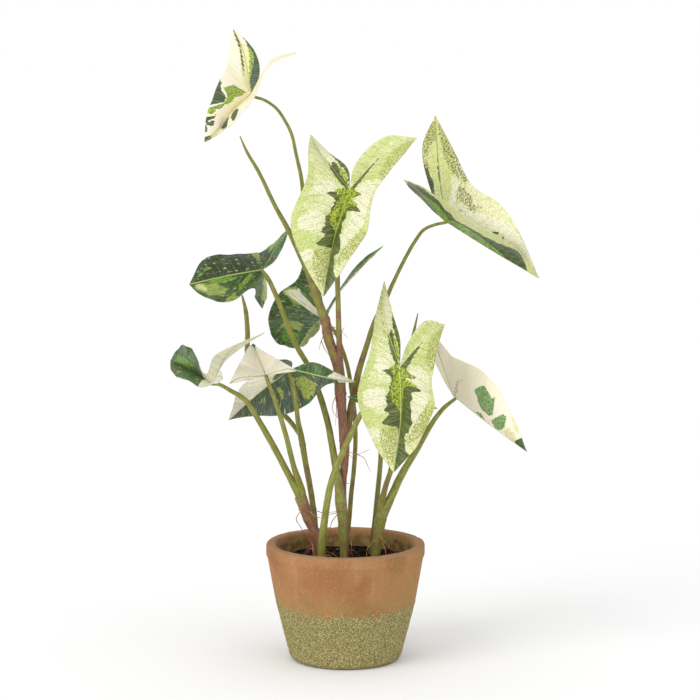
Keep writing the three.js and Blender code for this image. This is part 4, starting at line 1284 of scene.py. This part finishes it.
@dataclass(frozen=True)
class Stem:
    """A stem along a route of points with diameters, in millimetres.

    Ages run from 0, green, to 1, brown, at its first and last point. Scars are the heights of
    its leaf scars, whose rings lean a little.
    """

    route: tuple[tuple[float, float, float, float], ...]
    ages: tuple[float, float] = (0.0, 0.3)
    scars: tuple[float, ...] = ()
    sides: int = 16
    step: float = 2.2
    swell: float = 0.55

    def build(self, name: str) -> bpy.types.Object:
        """Models the stem as a closed tube.

        Args:
            name: name of the tube.

        Returns:
            The tube, with marks for age, scars and fibre.
        """
        points = tuple(Vector(knot[:3]) for knot in self.route)
        curve = SmoothCurve(points)
        spans = len(points) - 1
        length = sum((b - a).length for a, b in zip(points, points[1:]))
        count = max(6, round(length / self.step))
        side = Vector((0, 1, 0))
        rings: list[tuple[Vector, Vector, Vector, float, float]] = []
        for i in range(count + 1):
            share = i / count
            knot = min(int(share * spans), spans - 1)
            radius = lerp(self.route[knot][3], self.route[knot + 1][3], share * spans - knot) / 2
            tangent = curve.direction(share)
            side = (side - tangent * side.dot(tangent)).normalized()
            rings.append((curve.at(share), side.copy(), tangent.cross(side), radius, share))
        stations = count + 2

        def place(share_along: float, share: float) -> tuple[Vector, Marks]:
            """Places a point of the tube.

            Args:
                share_along: share of the way along the stem.
                share: share of a turn.

            Returns:
                The point and its marks.
            """
            station = round(share_along * stations)
            ring = min(max(station - 1, 0), count)
            centre, first, second, radius, along = rings[ring]
            turn = 2 * math.pi * (share % 1.0)
            spoke = first * math.cos(turn) + second * math.sin(turn)
            capped = station == 0 or station == stations
            level = centre.z + 0.25 * radius * math.cos(turn)
            scar = max((1 - abs(level - height) / 1.6 for height in self.scars), default=0.0)
            scar = max(0.0, scar)
            rough = 0.06 * radius * noise.noise(centre * 0.13 + spoke * 0.8)
            reach = 0.0 if capped else radius + rough + self.swell * scar * min(1.0, radius / 4)
            marks: Marks = {
                "age": lerp(self.ages[0], self.ages[1], along),
                "scar": 0.6 * scar,
                "fibre": (spoke.x * radius, spoke.y * radius, along * length),
            }
            return centre + spoke * reach, marks

        return mapped_sheet(name, stations, self.sides, place)


@dataclass(frozen=True)
class Shoot:
    """A grown piece of canes, petioles and rolled new leaves."""

    name: str
    slot: str
    stems: tuple[Stem, ...]

    def build(self, finish: bpy.types.Material) -> bpy.types.Object:
        """Models and dresses the shoot.

        Args:
            finish: the stems' material.

        Returns:
            The finished shoot.
        """
        tubes = [stem.build(f"{self.name}_{i}") for i, stem in enumerate(self.stems)]
        shoot = join_pieces(f"{self.name}_stems", tubes)
        smooth_by_angle(shoot, 60)
        hand_over(shoot, self.slot, finish, self.name)
        return shoot


SHOOTS = (
    Shoot("shoot_left", "stem", (
        Stem((
            (-45, -8, 166, 12.5), (-41, -8, 155, 11.5), (-37, -8, 143, 10), (-31, -8, 131, 10),
            (-26, -8, 114, 10), (-23, -8, 99, 9), (-22, -8, 60, 7),
        ), ages=(0.6, 1.0), scars=(154, 143, 128)),
        Stem((
            (-132, -27, 282, 3.4), (-124, -31, 282, 3.6), (-114, -33, 277, 4.2), (-98, -35, 267, 5),
            (-89, -33, 253, 5.4), (-75, -25, 227, 6.3), (-59, -14, 194, 6.6), (-48, -9, 171, 8),
            (-44, -8, 160, 8),
        ), ages=(0.0, 0.25)),
        Stem((
            (-78, -30, 291, 3.4), (-74, -33, 280, 4), (-68, -32, 263, 4.5), (-59, -27, 232, 5),
            (-51, -17, 197, 5.5), (-44, -9, 173, 8), (-42, -8, 160, 8),
        ), ages=(0.0, 0.3)),
    )),
    Shoot("shoot_dark_low", "stem", (
        Stem((
            (-57, -7, 292, 3.6), (-53, -16, 283, 4.4), (-49, -19, 263, 4.6), (-47, -12, 243, 5),
            (-44, 1, 224, 6.5), (-40, 6, 198, 6), (-34, 8, 163, 6), (-31, 8, 136, 6.5),
            (-30, 8, 117, 7), (-29, 8, 102, 7), (-28, 8, 60, 6),
        ), ages=(0.0, 0.75), scars=(216, 150, 126)),
        Stem((
            (-46, 1, 228, 5), (-56, 18, 238, 5), (-71, 42, 249, 5.5), (-90, 56, 270, 5.5),
            (-99, 56, 297, 5.5), (-99, 48, 323, 5.2), (-100, 32, 347, 4.5), (-103, 20, 364, 2),
        ), ages=(0.1, 0.3)),
    )),
    Shoot("shoot_front", "stem", (
        Stem((
            (53, -48, 299, 3.4), (45, -43, 290, 4.5), (31, -40, 272, 5.2), (15, -38, 253, 5.6),
            (6, -37, 234, 5.6), (-5, -35, 210, 6), (-14, -35, 185, 6.4), (-20, -35, 152, 7),
            (-23, -34, 127, 7.5), (-24, -32, 105, 7.5), (-24, -32, 62, 6),
        ), ages=(-0.1, 0.25), scars=(132,)),
    )),
    Shoot("shoot_middle", "stem", (
        Stem((
            (-83, -8, 393, 3.4), (-76, -4, 383, 4.5), (-65, 1, 357, 5), (-50, 6, 318, 5.2),
            (-37, 12, 294, 5.4), (-27, 16, 268, 6), (-18, 12, 238, 6.5), (-12, 4, 207, 7),
            (-7, -3, 178, 8.5), (-5, -6, 159, 11), (-4, -7, 147, 9), (-2, -8, 122, 8), (-2, -8, 60, 7),
        ), ages=(-0.1, 0.45), scars=(151, 136)),
    )),
    Shoot("shoot_tall", "cane", (
        Stem((
            (-38, 3, 399, 7), (-31, 3, 372, 8), (-24, 3, 352, 8.5), (-20, 3, 341, 10),
            (-17, 2, 324, 10), (-12, 1, 309, 10), (-7, 0, 294, 11), (-5, 0, 269, 11.5),
            (-4, 0, 257, 9.5), (-3, 1, 242, 9), (-1, 2, 217, 10), (-1, 4, 196, 8),
            (-3, 6, 178, 8), (-2, 9, 139, 8), (-1, 10, 103, 8), (0, 10, 60, 7),
        ), ages=(0.35, 1.15), scars=(342, 330, 268, 262, 221, 213, 180)),
        Stem((
            (-94, -2, 563, 3), (-80, 0, 559, 2.9), (-68, 0, 551, 3), (-60, 0, 540, 3.1),
            (-53, 0, 526, 3.2), (-48, 0, 504, 3.4), (-43, 0, 480, 3.8), (-41, 1, 446, 4.6),
            (-39, 2, 416, 5.6), (-36, 3, 389, 6),
        ), ages=(-0.1, 0.2)),
        Stem((
            (-103, -10, 524, 1), (-96, -9, 508, 3), (-85, -7, 489, 3.6), (-69, -4, 455, 4.2),
            (-57, -2, 433, 5), (-45, 0, 407, 5.6), (-34, 3, 382, 6),
        ), ages=(0.4, 0.2)),
        Stem((
            (3, -29, 470, 3.6), (-1, -20, 455, 4), (-7, -14, 428, 5), (-8, -11, 402, 5),
            (-7, -6, 353, 5.2), (-6, -2, 317, 6), (-5, 0, 282, 8),
        ), ages=(-0.1, 0.8)),
        Stem((
            (100, -1, 439, 3), (87, 1, 436, 3.1), (77, 2, 431, 3.4), (68, 2, 419, 3.5),
            (57, 3, 399, 3.7), (46, 3, 376, 4), (40, 4, 362, 4.3), (29, 5, 340, 4.8),
            (21, 7, 315, 5.6), (14, 10, 292, 6.3), (8, 13, 264, 7), (4, 9, 244, 8), (0, 3, 221, 8),
        ), ages=(-0.1, 0.7)),
    )),
    Shoot("shoot_thin", "stem", (
        Stem((
            (-24, 22, 341, 3), (-11, 23, 328, 3.6), (-2, 24, 306, 4), (3, 24, 288, 4.2),
            (6, 24, 267, 4.4), (9, 24, 246, 4.5), (10, 24, 215, 4.5), (8, 25, 183, 4.6),
            (6, 25, 165, 4.8), (4, 25, 141, 5), (2, 25, 119, 5), (1, 25, 98, 5), (1, 25, 64, 4.6),
        ), ages=(0.0, 0.6)),
    )),
    Shoot("shoot_right", "stem", (
        Stem((
            (37, 5, 146, 11), (35, 5, 139, 12), (33, 5, 127, 10.5), (31, 5, 114, 10),
            (30, 5, 95, 9), (30, 5, 60, 8),
        ), ages=(0.25, 0.5), scars=(141, 126)),
        Stem((
            (110, 10, 262, 3.4), (98, 10, 252, 4.4), (87, 8, 238, 5), (71, 7, 210, 6.2),
            (57, 6, 187, 7.6), (47, 5, 166, 8.2), (37, 5, 142, 9),
        ), ages=(-0.1, 0.4)),
        Stem((
            (71, -28, 352, 1), (68, -27, 338, 2.6), (63, -26, 313, 4), (57, -22, 270, 4.8),
            (51, -15, 224, 5), (45, -7, 192, 5.2), (40, -2, 175, 5.6), (36, 4, 155, 7),
            (35, 5, 142, 8),
        ), ages=(0.5, 0.4)),
    )),
    Shoot("shoot_back", "stem", (
        Stem((
            (43, 17, 261, 3), (38, 18, 249, 4), (36, 22, 223, 4.6), (35, 25, 192, 5),
            (32, 27, 159, 5.2), (30, 27, 137, 5.4), (28, 27, 118, 5.6), (26, 27, 100, 5.6),
            (26, 27, 64, 5),
        ), ages=(0.0, 0.6)),
    )),
)


@dataclass(frozen=True)
class AerialRoots:
    """Thin roots that grow from the leaf scars, given as lines of points in millimetres.

    Feet are the canes that random rootlets start from: place in X and Y, radius, and the height
    up to which they start. They end on the ground, within its reach from the pot's axis.
    """

    name: str = "aerial_roots"
    base_width: float = 1.0
    tip_width: float = 0.4
    seed: int = 11
    extra: int = 26
    ground: float = 100.5
    ground_reach: float = 62
    feet: tuple[tuple[float, float, float, float], ...] = (
        (-26, -8, 5, 116), (-24, -33, 4, 112), (-2, -8, 4, 114), (31, 5, 5, 118), (-29, 8, 4, 112),
    )
    lines: tuple[tuple[Point, ...], ...] = (
        ((-22, -3, 326), (-24, -6, 322), (-26, -8, 313)),
        ((-24, -6, 322), (-20, -8, 313), (-15, -9, 306)),
        ((-9, -3, 267), (-12, -7, 261), (-13, -9, 254), (-10, -9, 248), (-7, -8, 245)),
        ((-9, -4, 267), (-9, -8, 251), (-10, -9, 237)),
        ((1, 0, 211), (11, -5, 208), (24, -6, 213)),
        ((11, -5, 208), (18, -7, 205), (22, -7, 197), (25, -6, 191)),
        ((1, 0, 210), (7, -5, 204)),
        ((-3, 2, 177), (4, -2, 178)),
        ((-16, 0, 336), (-7, -5, 334), (2, -5, 325)),
        ((-15, 0, 328), (-5, -5, 329), (-1, -4, 336)),
        (
            (-44, -12, 153), (-49, -14, 144), (-45, -15, 137),
            (-41, -15, 129), (-34, -15, 120), (-28, -14, 104),
        ),
        ((-38, -12, 153), (-29, -15, 147), (-22, -15, 145)),
        ((-38, -12, 149), (-32, -15, 141), (-27, -15, 144)),
        ((-7, -9, 150), (-17, -12, 148)),
        ((-28, -12, 152), (-22, -12, 150), (-9, -9, 151)),
        ((-8, -9, 148), (-14, -12, 140), (-15, -12, 133), (-15, -11, 123)),
        ((33, 1, 125), (42, -4, 116), (53, -5, 106)),
        ((34, 1, 124), (40, -4, 110), (41, -5, 101)),
        ((2, -4, 132), (6, -8, 118), (4, -9, 102)),
        ((30, 1, 120), (22, -4, 112), (21, -5, 101)),
        ((-33, -12, 120), (-31, -16, 106), (-21, -18, 102)),
    )

    def _line(self, name: str, points: tuple[Point, ...], scale: float) -> bpy.types.Object:
        """Models one root as a thin closed tube.

        Args:
            name: name of the tube.
            points: the root's line.
            scale: share of the usual width.

        Returns:
            The tube.
        """
        last = len(points) - 1
        route = tuple(
            (*point, scale * lerp(self.base_width, self.tip_width, i / last))
            for i, point in enumerate(points)
        )
        return Stem(route, ages=(0.9, 0.7), sides=6, step=1.6).build(name)

    def build(self, finish: bpy.types.Material) -> bpy.types.Object:
        """Models and dresses the roots, with fine random ones round the canes' feet.

        Args:
            finish: the roots' material.

        Returns:
            The finished roots.
        """
        draw = random.Random(self.seed)
        tubes = [self._line(f"root_{i}", line, 1.0) for i, line in enumerate(self.lines)]
        for i in range(self.extra):
            x, y, radius, top = self.feet[i % len(self.feet)]
            turn = draw.uniform(0, 2 * math.pi)
            out = Vector((math.cos(turn), math.sin(turn), 0))
            start = Vector((x, y, draw.uniform(108, top))) + out * (radius - 1)
            reach = draw.uniform(8, 17)
            middle = start + out * reach * 0.5 + Vector((0, 0, draw.uniform(-3, 1)))
            end = Vector((x, y, 0)) + out * (radius + reach)
            end.z = self.ground
            if math.hypot(end.x, end.y) > self.ground_reach:
                continue
            line = tuple((p.x, p.y, p.z) for p in (start, middle, end))
            tubes.append(self._line(f"rootlet_{i}", line, draw.uniform(0.5, 0.8)))
        roots = join_pieces(self.name, tubes)
        smooth_by_angle(roots, 60)
        hand_over(roots, "cane", finish)
        return roots


@dataclass(frozen=True)
class RootFinish:
    """Skin of the aerial roots, from tan to red brown."""

    name: str = "root_skin"
    tan: str = "b98a5c"
    red: str = "8a4030"
    roughness: float = 0.55

    def build(self) -> bpy.types.Material:
        """Makes the roots' material.

        Returns:
            The material.
        """
        sheet = Skin(self.name)
        cloud = sheet.noise(sheet.place(), 0.16, 3.0)
        colour = sheet.mix(sheet.soft(cloud, 0.42, 0.6), paint(self.red), paint(self.tan))
        fine = sheet.noise(sheet.place(), 1.6, 2.0)
        return sheet.close(colour, sheet.plus(sheet.times(fine, 0.2), self.roughness))


@dataclass(frozen=True)
class ClayFinish:
    """Fired clay, pale and worn at the rim, with moss and grit on the lower half."""

    name: str = "terracotta_clay"
    clay: str = "ad7b4f"
    clay_warm: str = "9b6942"
    clay_pale: str = "c09870"
    worn: str = "9c7a5a"
    inside: str = "7a5636"
    moss: str = "918953"
    moss_light: str = "c6be8a"
    moss_dark: str = "6a6536"
    shade_green: str = "8f8048"
    roughness: float = 0.86

    def build(self, effects: Effects) -> bpy.types.Material:
        """Makes the pot's material.

        Args:
            effects: the shared masks.

        Returns:
            The material.
        """
        sheet = Skin(self.name)
        place = sheet.place()
        runs = sheet.scaled(place, (1.0, 1.0, 0.12))
        broad = sheet.noise(place, 0.02, 4.0)
        colour = sheet.mix(sheet.soft(broad, 0.4, 0.62), paint(self.clay), paint(self.clay_warm))
        run = sheet.soft(sheet.noise(runs, 0.07, 4.0), 0.5, 0.72)
        colour = sheet.mix(sheet.times(run, 0.3), colour, paint(self.clay_pale))
        parts = sheet.node("ShaderNodeSeparateXYZ", {0: place})
        right = sheet.soft(parts.outputs[0], 10, 85)
        green = sheet.times(right, sheet.soft(sheet.noise(runs, 0.05, 3.0), 0.35, 0.6))
        colour = sheet.mix(sheet.times(green, 0.5), colour, paint(self.shade_green))
        damp = sheet.soft(sheet.mark("moss"), -34, 4)
        damp = sheet.times(damp, sheet.soft(sheet.noise(place, 0.09, 4.0), 0.35, 0.65))
        colour = sheet.mix(sheet.times(damp, 0.7), colour, paint(self.shade_green))
        tooth = sheet.noise(place, 1.1, 5.0)
        colour = sheet.mix(sheet.times(sheet.soft(tooth, 0.52, 0.7), 0.5), colour, paint(self.inside))
        colour = sheet.mix(sheet.times(sheet.soft(tooth, 0.48, 0.32), 0.5), colour, paint(self.clay_pale))
        grain = {"Vector": place, "Scale": 0.55, "Size": 0.3, "Density": 0.3}
        pits = sheet.group(effects.speckle, grain)
        colour = sheet.mix(sheet.times(pits, 0.45), colour, paint(self.inside))
        # The inside wall, below the rim, is coloured darker brown with olive patches.
        inside_patches = sheet.soft(sheet.noise(place, 0.12, 4.0), 0.4, 0.6)
        inside_tone = sheet.mix(inside_patches, paint(self.inside), paint(self.shade_green))
        colour = sheet.mix(sheet.mark("inside"), colour, inside_tone)
        worn = {"Vector": place, "Scale": 0.3, "Field": sheet.mark("wear"), "Ragged": 1.2, "Soft": 0.8}
        wear = sheet.group(effects.patch, worn)
        colour = sheet.mix(sheet.times(wear, 0.7), colour, paint(self.worn))
        grit = {"Vector": place, "Scale": 0.7, "Size": 0.34, "Density": 0.4}
        sand = sheet.group(effects.speckle, grit)
        sand = sheet.times(sand, sheet.soft(sheet.mark("moss"), -16, 2))
        colour = sheet.mix(sheet.times(sand, 0.7), colour, paint(self.moss_light))
        field = {"Vector": place, "Scale": 0.22, "Field": sheet.mark("moss"), "Ragged": 6.5, "Soft": 3.2}
        moss = sheet.group(effects.patch, field)
        tufts = sheet.noise(place, 0.55, 4.0)
        growth = sheet.mix(sheet.soft(tufts, 0.4, 0.6), paint(self.moss_dark), paint(self.moss))
        tips = sheet.soft(sheet.noise(place, 0.95, 3.0), 0.5, 0.62)
        growth = sheet.mix(tips, growth, paint(self.moss_light))
        colour = sheet.mix(sheet.times(moss, 0.92), colour, growth)
        fine = sheet.times(sheet.noise(place, 0.9, 5.0), 0.35)
        height = sheet.plus(fine, sheet.times(sheet.times(moss, tufts), 1.6))
        sheet.relief(height, 0.7, 0.0012)
        rough = sheet.plus(sheet.times(tufts, 0.14), self.roughness - 0.07)
        return sheet.close(colour, rough, gloss=0.25)


@dataclass(frozen=True)
class Pot:
    """The clay pot, turned about +Z from its profile, in millimetres."""

    height: float = 118
    rim_radius: float = 79.5
    band_height: float = 13
    band_step: float = 1.2
    rim_width: float = 9.6
    waist_radius: float = 70
    waist_height: float = 58
    heel_radius: float = 57
    heel_height: float = 8
    foot_radius: float = 49
    floor: float = 11
    floor_radius: float = 44
    moss_middle: float = 57
    moss_edge: float = 65
    sides: int = 320
    seed_shift: float = 4.7

    def _profile(self) -> list[tuple[float, float]]:
        """Gives the profile, from the middle of the foot round to that of the inside floor.

        Returns:
            Radius and height of its corners and of the points of its rounded edges.
        """
        band = self.height - self.band_height
        corners: list[tuple[float, float]] = [(0.0, 0.0)]
        for i in range(7):
            angle = math.pi / 2 * i / 6
            radius = self.foot_radius + (self.heel_radius - self.foot_radius) * math.sin(angle)
            corners.append((radius, self.heel_height * (1 - math.cos(angle))))
        corners.append((self.waist_radius, self.waist_height))
        corners += [(self.rim_radius - self.band_step, band), (self.rim_radius - 0.3, band + 1.0)]
        corners += [(self.rim_radius, band + 3), (self.rim_radius, self.height - 2.2)]
        corners += [(self.rim_radius - 0.7, self.height - 0.6), (self.rim_radius - 2.4, self.height)]
        inner = self.rim_radius - self.rim_width
        corners += [(inner + 2.0, self.height), (inner + 0.5, self.height - 0.8)]
        slope = (inner - self.floor_radius) / (self.height - self.floor)
        corners += [(inner - 3 * slope, self.height - 3), (self.floor_radius, self.floor), (0.0, self.floor)]
        return corners

    def _stations(self) -> list[tuple[float, float, float]]:
        """Splits the profile into short steps.

        Returns:
            Radius and height of each step, and 1 where it lies inside the pot, 0 elsewhere.
        """
        corners = self._profile()
        stations = [(*corners[0], 0.0)]
        for number, (start, end) in enumerate(zip(corners, corners[1:])):
            length = math.dist(start, end)
            inside = number >= len(corners) - 3
            step = 6.0 if inside or number == 0 else 1.25
            count = max(1, round(length / step))
            for i in range(1, count + 1):
                radius = lerp(start[0], end[0], i / count)
                height = lerp(start[1], end[1], i / count)
                stations.append((radius, height, 1.0 if inside else 0.0))
        return stations

    def _moss_line(self, turn: float) -> float:
        """Gives the height where the moss ends.

        Args:
            turn: turn from +X, in radians.

        Returns:
            The height there.
        """
        front = 0.5 - 0.5 * math.sin(turn)
        wander = noise.noise(Vector((math.cos(turn) * 2, math.sin(turn) * 2, self.seed_shift)))
        return lerp(self.moss_edge, self.moss_middle, front) + 5 * wander

    def build(self, effects: Effects, finish: ClayFinish) -> bpy.types.Object:
        """Models and dresses the pot.

        Args:
            effects: the shared masks.
            finish: the clay.

        Returns:
            The finished pot.
        """
        stations = self._stations()
        last = len(stations) - 1

        def place(share_along: float, share: float) -> tuple[Vector, Marks]:
            """Places a point of the pot's skin.

            Args:
                share_along: share of the way along the profile.
                share: share of a turn.

            Returns:
                The point and its marks.
            """
            radius, height, inside = stations[round(share_along * last)]
            turn = 2 * math.pi * (share % 1.0)
            spot = Vector((math.cos(turn) * radius, math.sin(turn) * radius, height))
            moss = self._moss_line(turn) - height
            outside = 1.0 - inside
            rise = smoothstep(height, 1.0, 8.0) * outside
            grit = smoothstep(moss, -4, 6) * noise.noise(spot * 0.42) * 0.55
            grit += smoothstep(moss, -2, 6) * noise.noise(spot * 0.9) * 0.3
            wobble = 0.35 * noise.noise(spot * 0.03 + Vector((9, 2, 5)))
            near_rim = smoothstep(height, self.height - 4, self.height)
            chip = max(0.0, noise.noise(spot * 0.13 + Vector((3, 8, 1))) - 0.28) * 3.2 * near_rim
            rim_edge = 1.0 if radius > self.rim_radius - 3.5 else 0.35
            radius_now = radius + rise * (grit + wobble) - chip * rim_edge * outside
            dip = (chip * 0.6 + 0.25 * near_rim * (1 + noise.noise(spot * 0.05))) * outside
            point = Vector((math.cos(turn) * radius_now, math.sin(turn) * radius_now, height - dip))
            wear = 2.6 - abs(height - self.height) if radius > self.rim_radius - 4 else 1.2
            marks: Marks = {
                "moss": moss if inside < 0.5 else OUTSIDE,
                "wear": wear if height > self.height - 8 else OUTSIDE,
                "inside": inside if height < self.height - 2 else 0.0,
            }
            return point, marks

        skin = mapped_sheet("pot_skin", last, self.sides, place)
        pot = join_pieces("pot_clay", [skin])
        smooth_by_angle(pot, 75)
        hand_over(pot, "terracotta", finish.build(effects), "pot")
        return pot


@dataclass(frozen=True)
class SoilFinish:
    """Dark potting soil with lighter clouds and a few lighter grains."""

    name: str = "potting_soil"
    dark: str = "140e0a"
    light: str = "2e2219"
    grain: str = "64523f"
    roughness: float = 0.88

    def build(self, effects: Effects) -> bpy.types.Material:
        """Makes the soil's material.

        Args:
            effects: the shared masks.

        Returns:
            The material.
        """
        sheet = Skin(self.name)
        place = sheet.place()
        cloud = sheet.noise(place, 0.22, 5.0)
        colour = sheet.mix(sheet.soft(cloud, 0.42, 0.66), paint(self.dark), paint(self.light))
        grains = {"Vector": place, "Scale": 0.5, "Size": 0.3, "Density": 0.12}
        colour = sheet.mix(sheet.group(effects.speckle, grains), colour, paint(self.grain))
        sheet.relief(cloud, 0.8, 0.0015)
        rough = sheet.plus(sheet.times(cloud, 0.1), self.roughness)
        return sheet.close(colour, rough, gloss=0.1)


@dataclass(frozen=True)
class Soil:
    """The soil in the pot: a closed body with a lumpy top, and loose crumbs, in millimetres."""

    level: float = 100
    top_radius: float = 65.2
    bottom: float = 11.3
    bottom_radius: float = 43.7
    lump: float = 1.9
    rings: int = 40
    sides: int = 120
    crumbs: int = 420
    crumb_reach: float = 61
    seed: int = 5

    def _height(self, x: float, y: float) -> float:
        """Gives the height of the soil's lumpy top.

        Args:
            x: place to the right.
            y: place to the back.

        Returns:
            The height there.
        """
        spot = Vector((x, y, 0))
        rough = noise.noise(spot * 0.09) * self.lump + noise.noise(spot * 0.3) * 0.9
        return self.level + rough

    def _crumb(self, number: int, draw: random.Random) -> bpy.types.Object:
        """Models one crumb on the soil.

        Args:
            number: its number.
            draw: where its place and size are drawn from.

        Returns:
            The crumb.
        """
        reach = self.crumb_reach * math.sqrt(draw.random())
        turn = draw.uniform(0, 2 * math.pi)
        x, y = reach * math.cos(turn), reach * math.sin(turn)
        size = draw.uniform(0.6, 1.9)
        deselect()
        bpy.ops.mesh.primitive_ico_sphere_add(subdivisions=1, radius=size * MM)
        crumb = bpy.context.object
        crumb.name = f"crumb_{number}"
        centre = Vector((x, y, self._height(x, y) + size * 0.3)) * MM
        for vertex in crumb.data.vertices:
            squash = 1 + 0.5 * noise.noise(vertex.co * 900 + Vector((number, 0, 0)))
            vertex.co = centre + vertex.co * squash
        return crumb

    def build(self, effects: Effects, finish: SoilFinish) -> bpy.types.Object:
        """Models and dresses the soil.

        Args:
            effects: the shared masks.
            finish: the soil's colours.

        Returns:
            The finished soil.
        """
        last = self.rings + 2

        def place(share_along: float, share: float) -> tuple[Vector, Marks]:
            """Places a point of the soil's skin.

            Args:
                share_along: share of the way from the middle of the top to that of the bottom.
                share: share of a turn.

            Returns:
                The point, without marks.
            """
            ring = round(share_along * last)
            turn = 2 * math.pi * (share % 1.0)
            if ring <= self.rings:
                radius = self.top_radius * ring / self.rings
                x, y = math.cos(turn) * radius, math.sin(turn) * radius
                return Vector((x, y, self._height(x, y))), {}
            radius = self.bottom_radius if ring == self.rings + 1 else 0.0
            return Vector((math.cos(turn) * radius, math.sin(turn) * radius, self.bottom)), {}

        skin = join_pieces("soil_body", [mapped_sheet("soil_skin", last, self.sides, place)])
        draw = random.Random(self.seed)
        crumbs = [self._crumb(i, draw) for i in range(self.crumbs)]
        deselect()
        for piece in (*crumbs, skin):
            piece.select_set(True)
        bpy.context.view_layer.objects.active = skin
        bpy.ops.object.join()
        soil = bpy.context.object
        soil.name = "soil_top"
        smooth_by_angle(soil, 40)
        hand_over(soil, "soil", finish.build(effects), "soil")
        return soil


@dataclass(frozen=True)
class Studio:
    """Camera, lights and floor, in millimetres and degrees."""

    elevation: float = 7.5
    distance: float = 2500
    target: Point = (4.5, 0.0, 312.0)
    lens: float = 129.65
    floor_size: float = 60000
    floor_light: str = "fbfbfb"
    floor_grey: str = "f6f6f6"
    floor_roughness: float = 0.9
    air_light: float = 0.68

    def _camera(self) -> None:
        """Sets the camera at the photograph's angle."""
        tilt = math.radians(self.elevation)
        back = Vector((0, -math.cos(tilt), math.sin(tilt)))
        place = (Vector(self.target) + back * self.distance) * MM
        bpy.ops.object.camera_add(location=place, rotation=(math.pi / 2 - tilt, 0, 0))
        camera = bpy.context.object
        camera.data.lens = self.lens
        camera.data.sensor_width = 36
        camera.data.clip_end = 100
        bpy.context.scene.camera = camera

    def _light(self, name: str, place: Point, spread: float, power: float) -> None:
        """Adds a broad soft light that shines towards the plant.

        Args:
            name: its name.
            place: where it shines from.
            spread: how broad its disc is.
            power: its strength.
        """
        aim = Vector(self.target) - Vector(place)
        turn = aim.to_track_quat("-Z", "Y").to_euler()
        bpy.ops.object.light_add(type="SUN", location=Vector(place) * MM, rotation=turn)
        light = bpy.context.object
        light.name = name
        light.data.angle = math.radians(spread)
        light.data.energy = power

    def _floor(self) -> None:
        """Adds the pale floor."""
        deselect()
        bpy.ops.mesh.primitive_plane_add(size=self.floor_size * MM)
        floor = bpy.context.object
        floor.name = "studio_floor"
        sheet = Skin("pale_floor")
        cloud = sheet.noise(sheet.place(), 0.004, 2.0)
        colour = sheet.mix(cloud, paint(self.floor_light), paint(self.floor_grey))
        floor.data.materials.append(sheet.close(colour, self.floor_roughness))

    def build(self) -> None:
        """Sets up floor, lights, surroundings and camera."""
        deselect()
        self._floor()
        self._light("key_light", (-1900, -1700, 1900), 40, 1.2)
        self._light("top_light", (300, -200, 2500), 70, 0.6)
        self._light("fill_light", (1500, -2200, 200), 80, 0.8)
        world = bpy.data.worlds.new("studio_air")
        bpy.context.scene.world = world
        world.use_nodes = True
        sheet = Sheet(world.node_tree)
        seen = sheet.node("ShaderNodeLightPath", {}).outputs["Is Camera Ray"]
        strength = sheet.plus(sheet.times(seen, 1 - self.air_light), self.air_light)
        air = world.node_tree.nodes["Background"]
        air.inputs["Color"].default_value = (1.0, 1.0, 1.0, 1.0)
        world.node_tree.links.new(strength, air.inputs["Strength"])
        bpy.context.scene.view_settings.view_transform = "Standard"
        self._camera()


def main() -> None:
    """Builds the plant's pieces in order."""
    logging.basicConfig(level=logging.INFO, format="%(name)s: %(message)s")
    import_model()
    effects = Effects()
    Pot().build(effects, ClayFinish())
    Soil().build(effects, SoilFinish())
    skin = StemFinish().build(effects)
    for shoot in SHOOTS:
        shoot.build(skin)
    AerialRoots().build(RootFinish().build())
    for blade in BLADES:
        blade.build(effects)
    Studio().build()


if __name__ == "__main__":
    main()
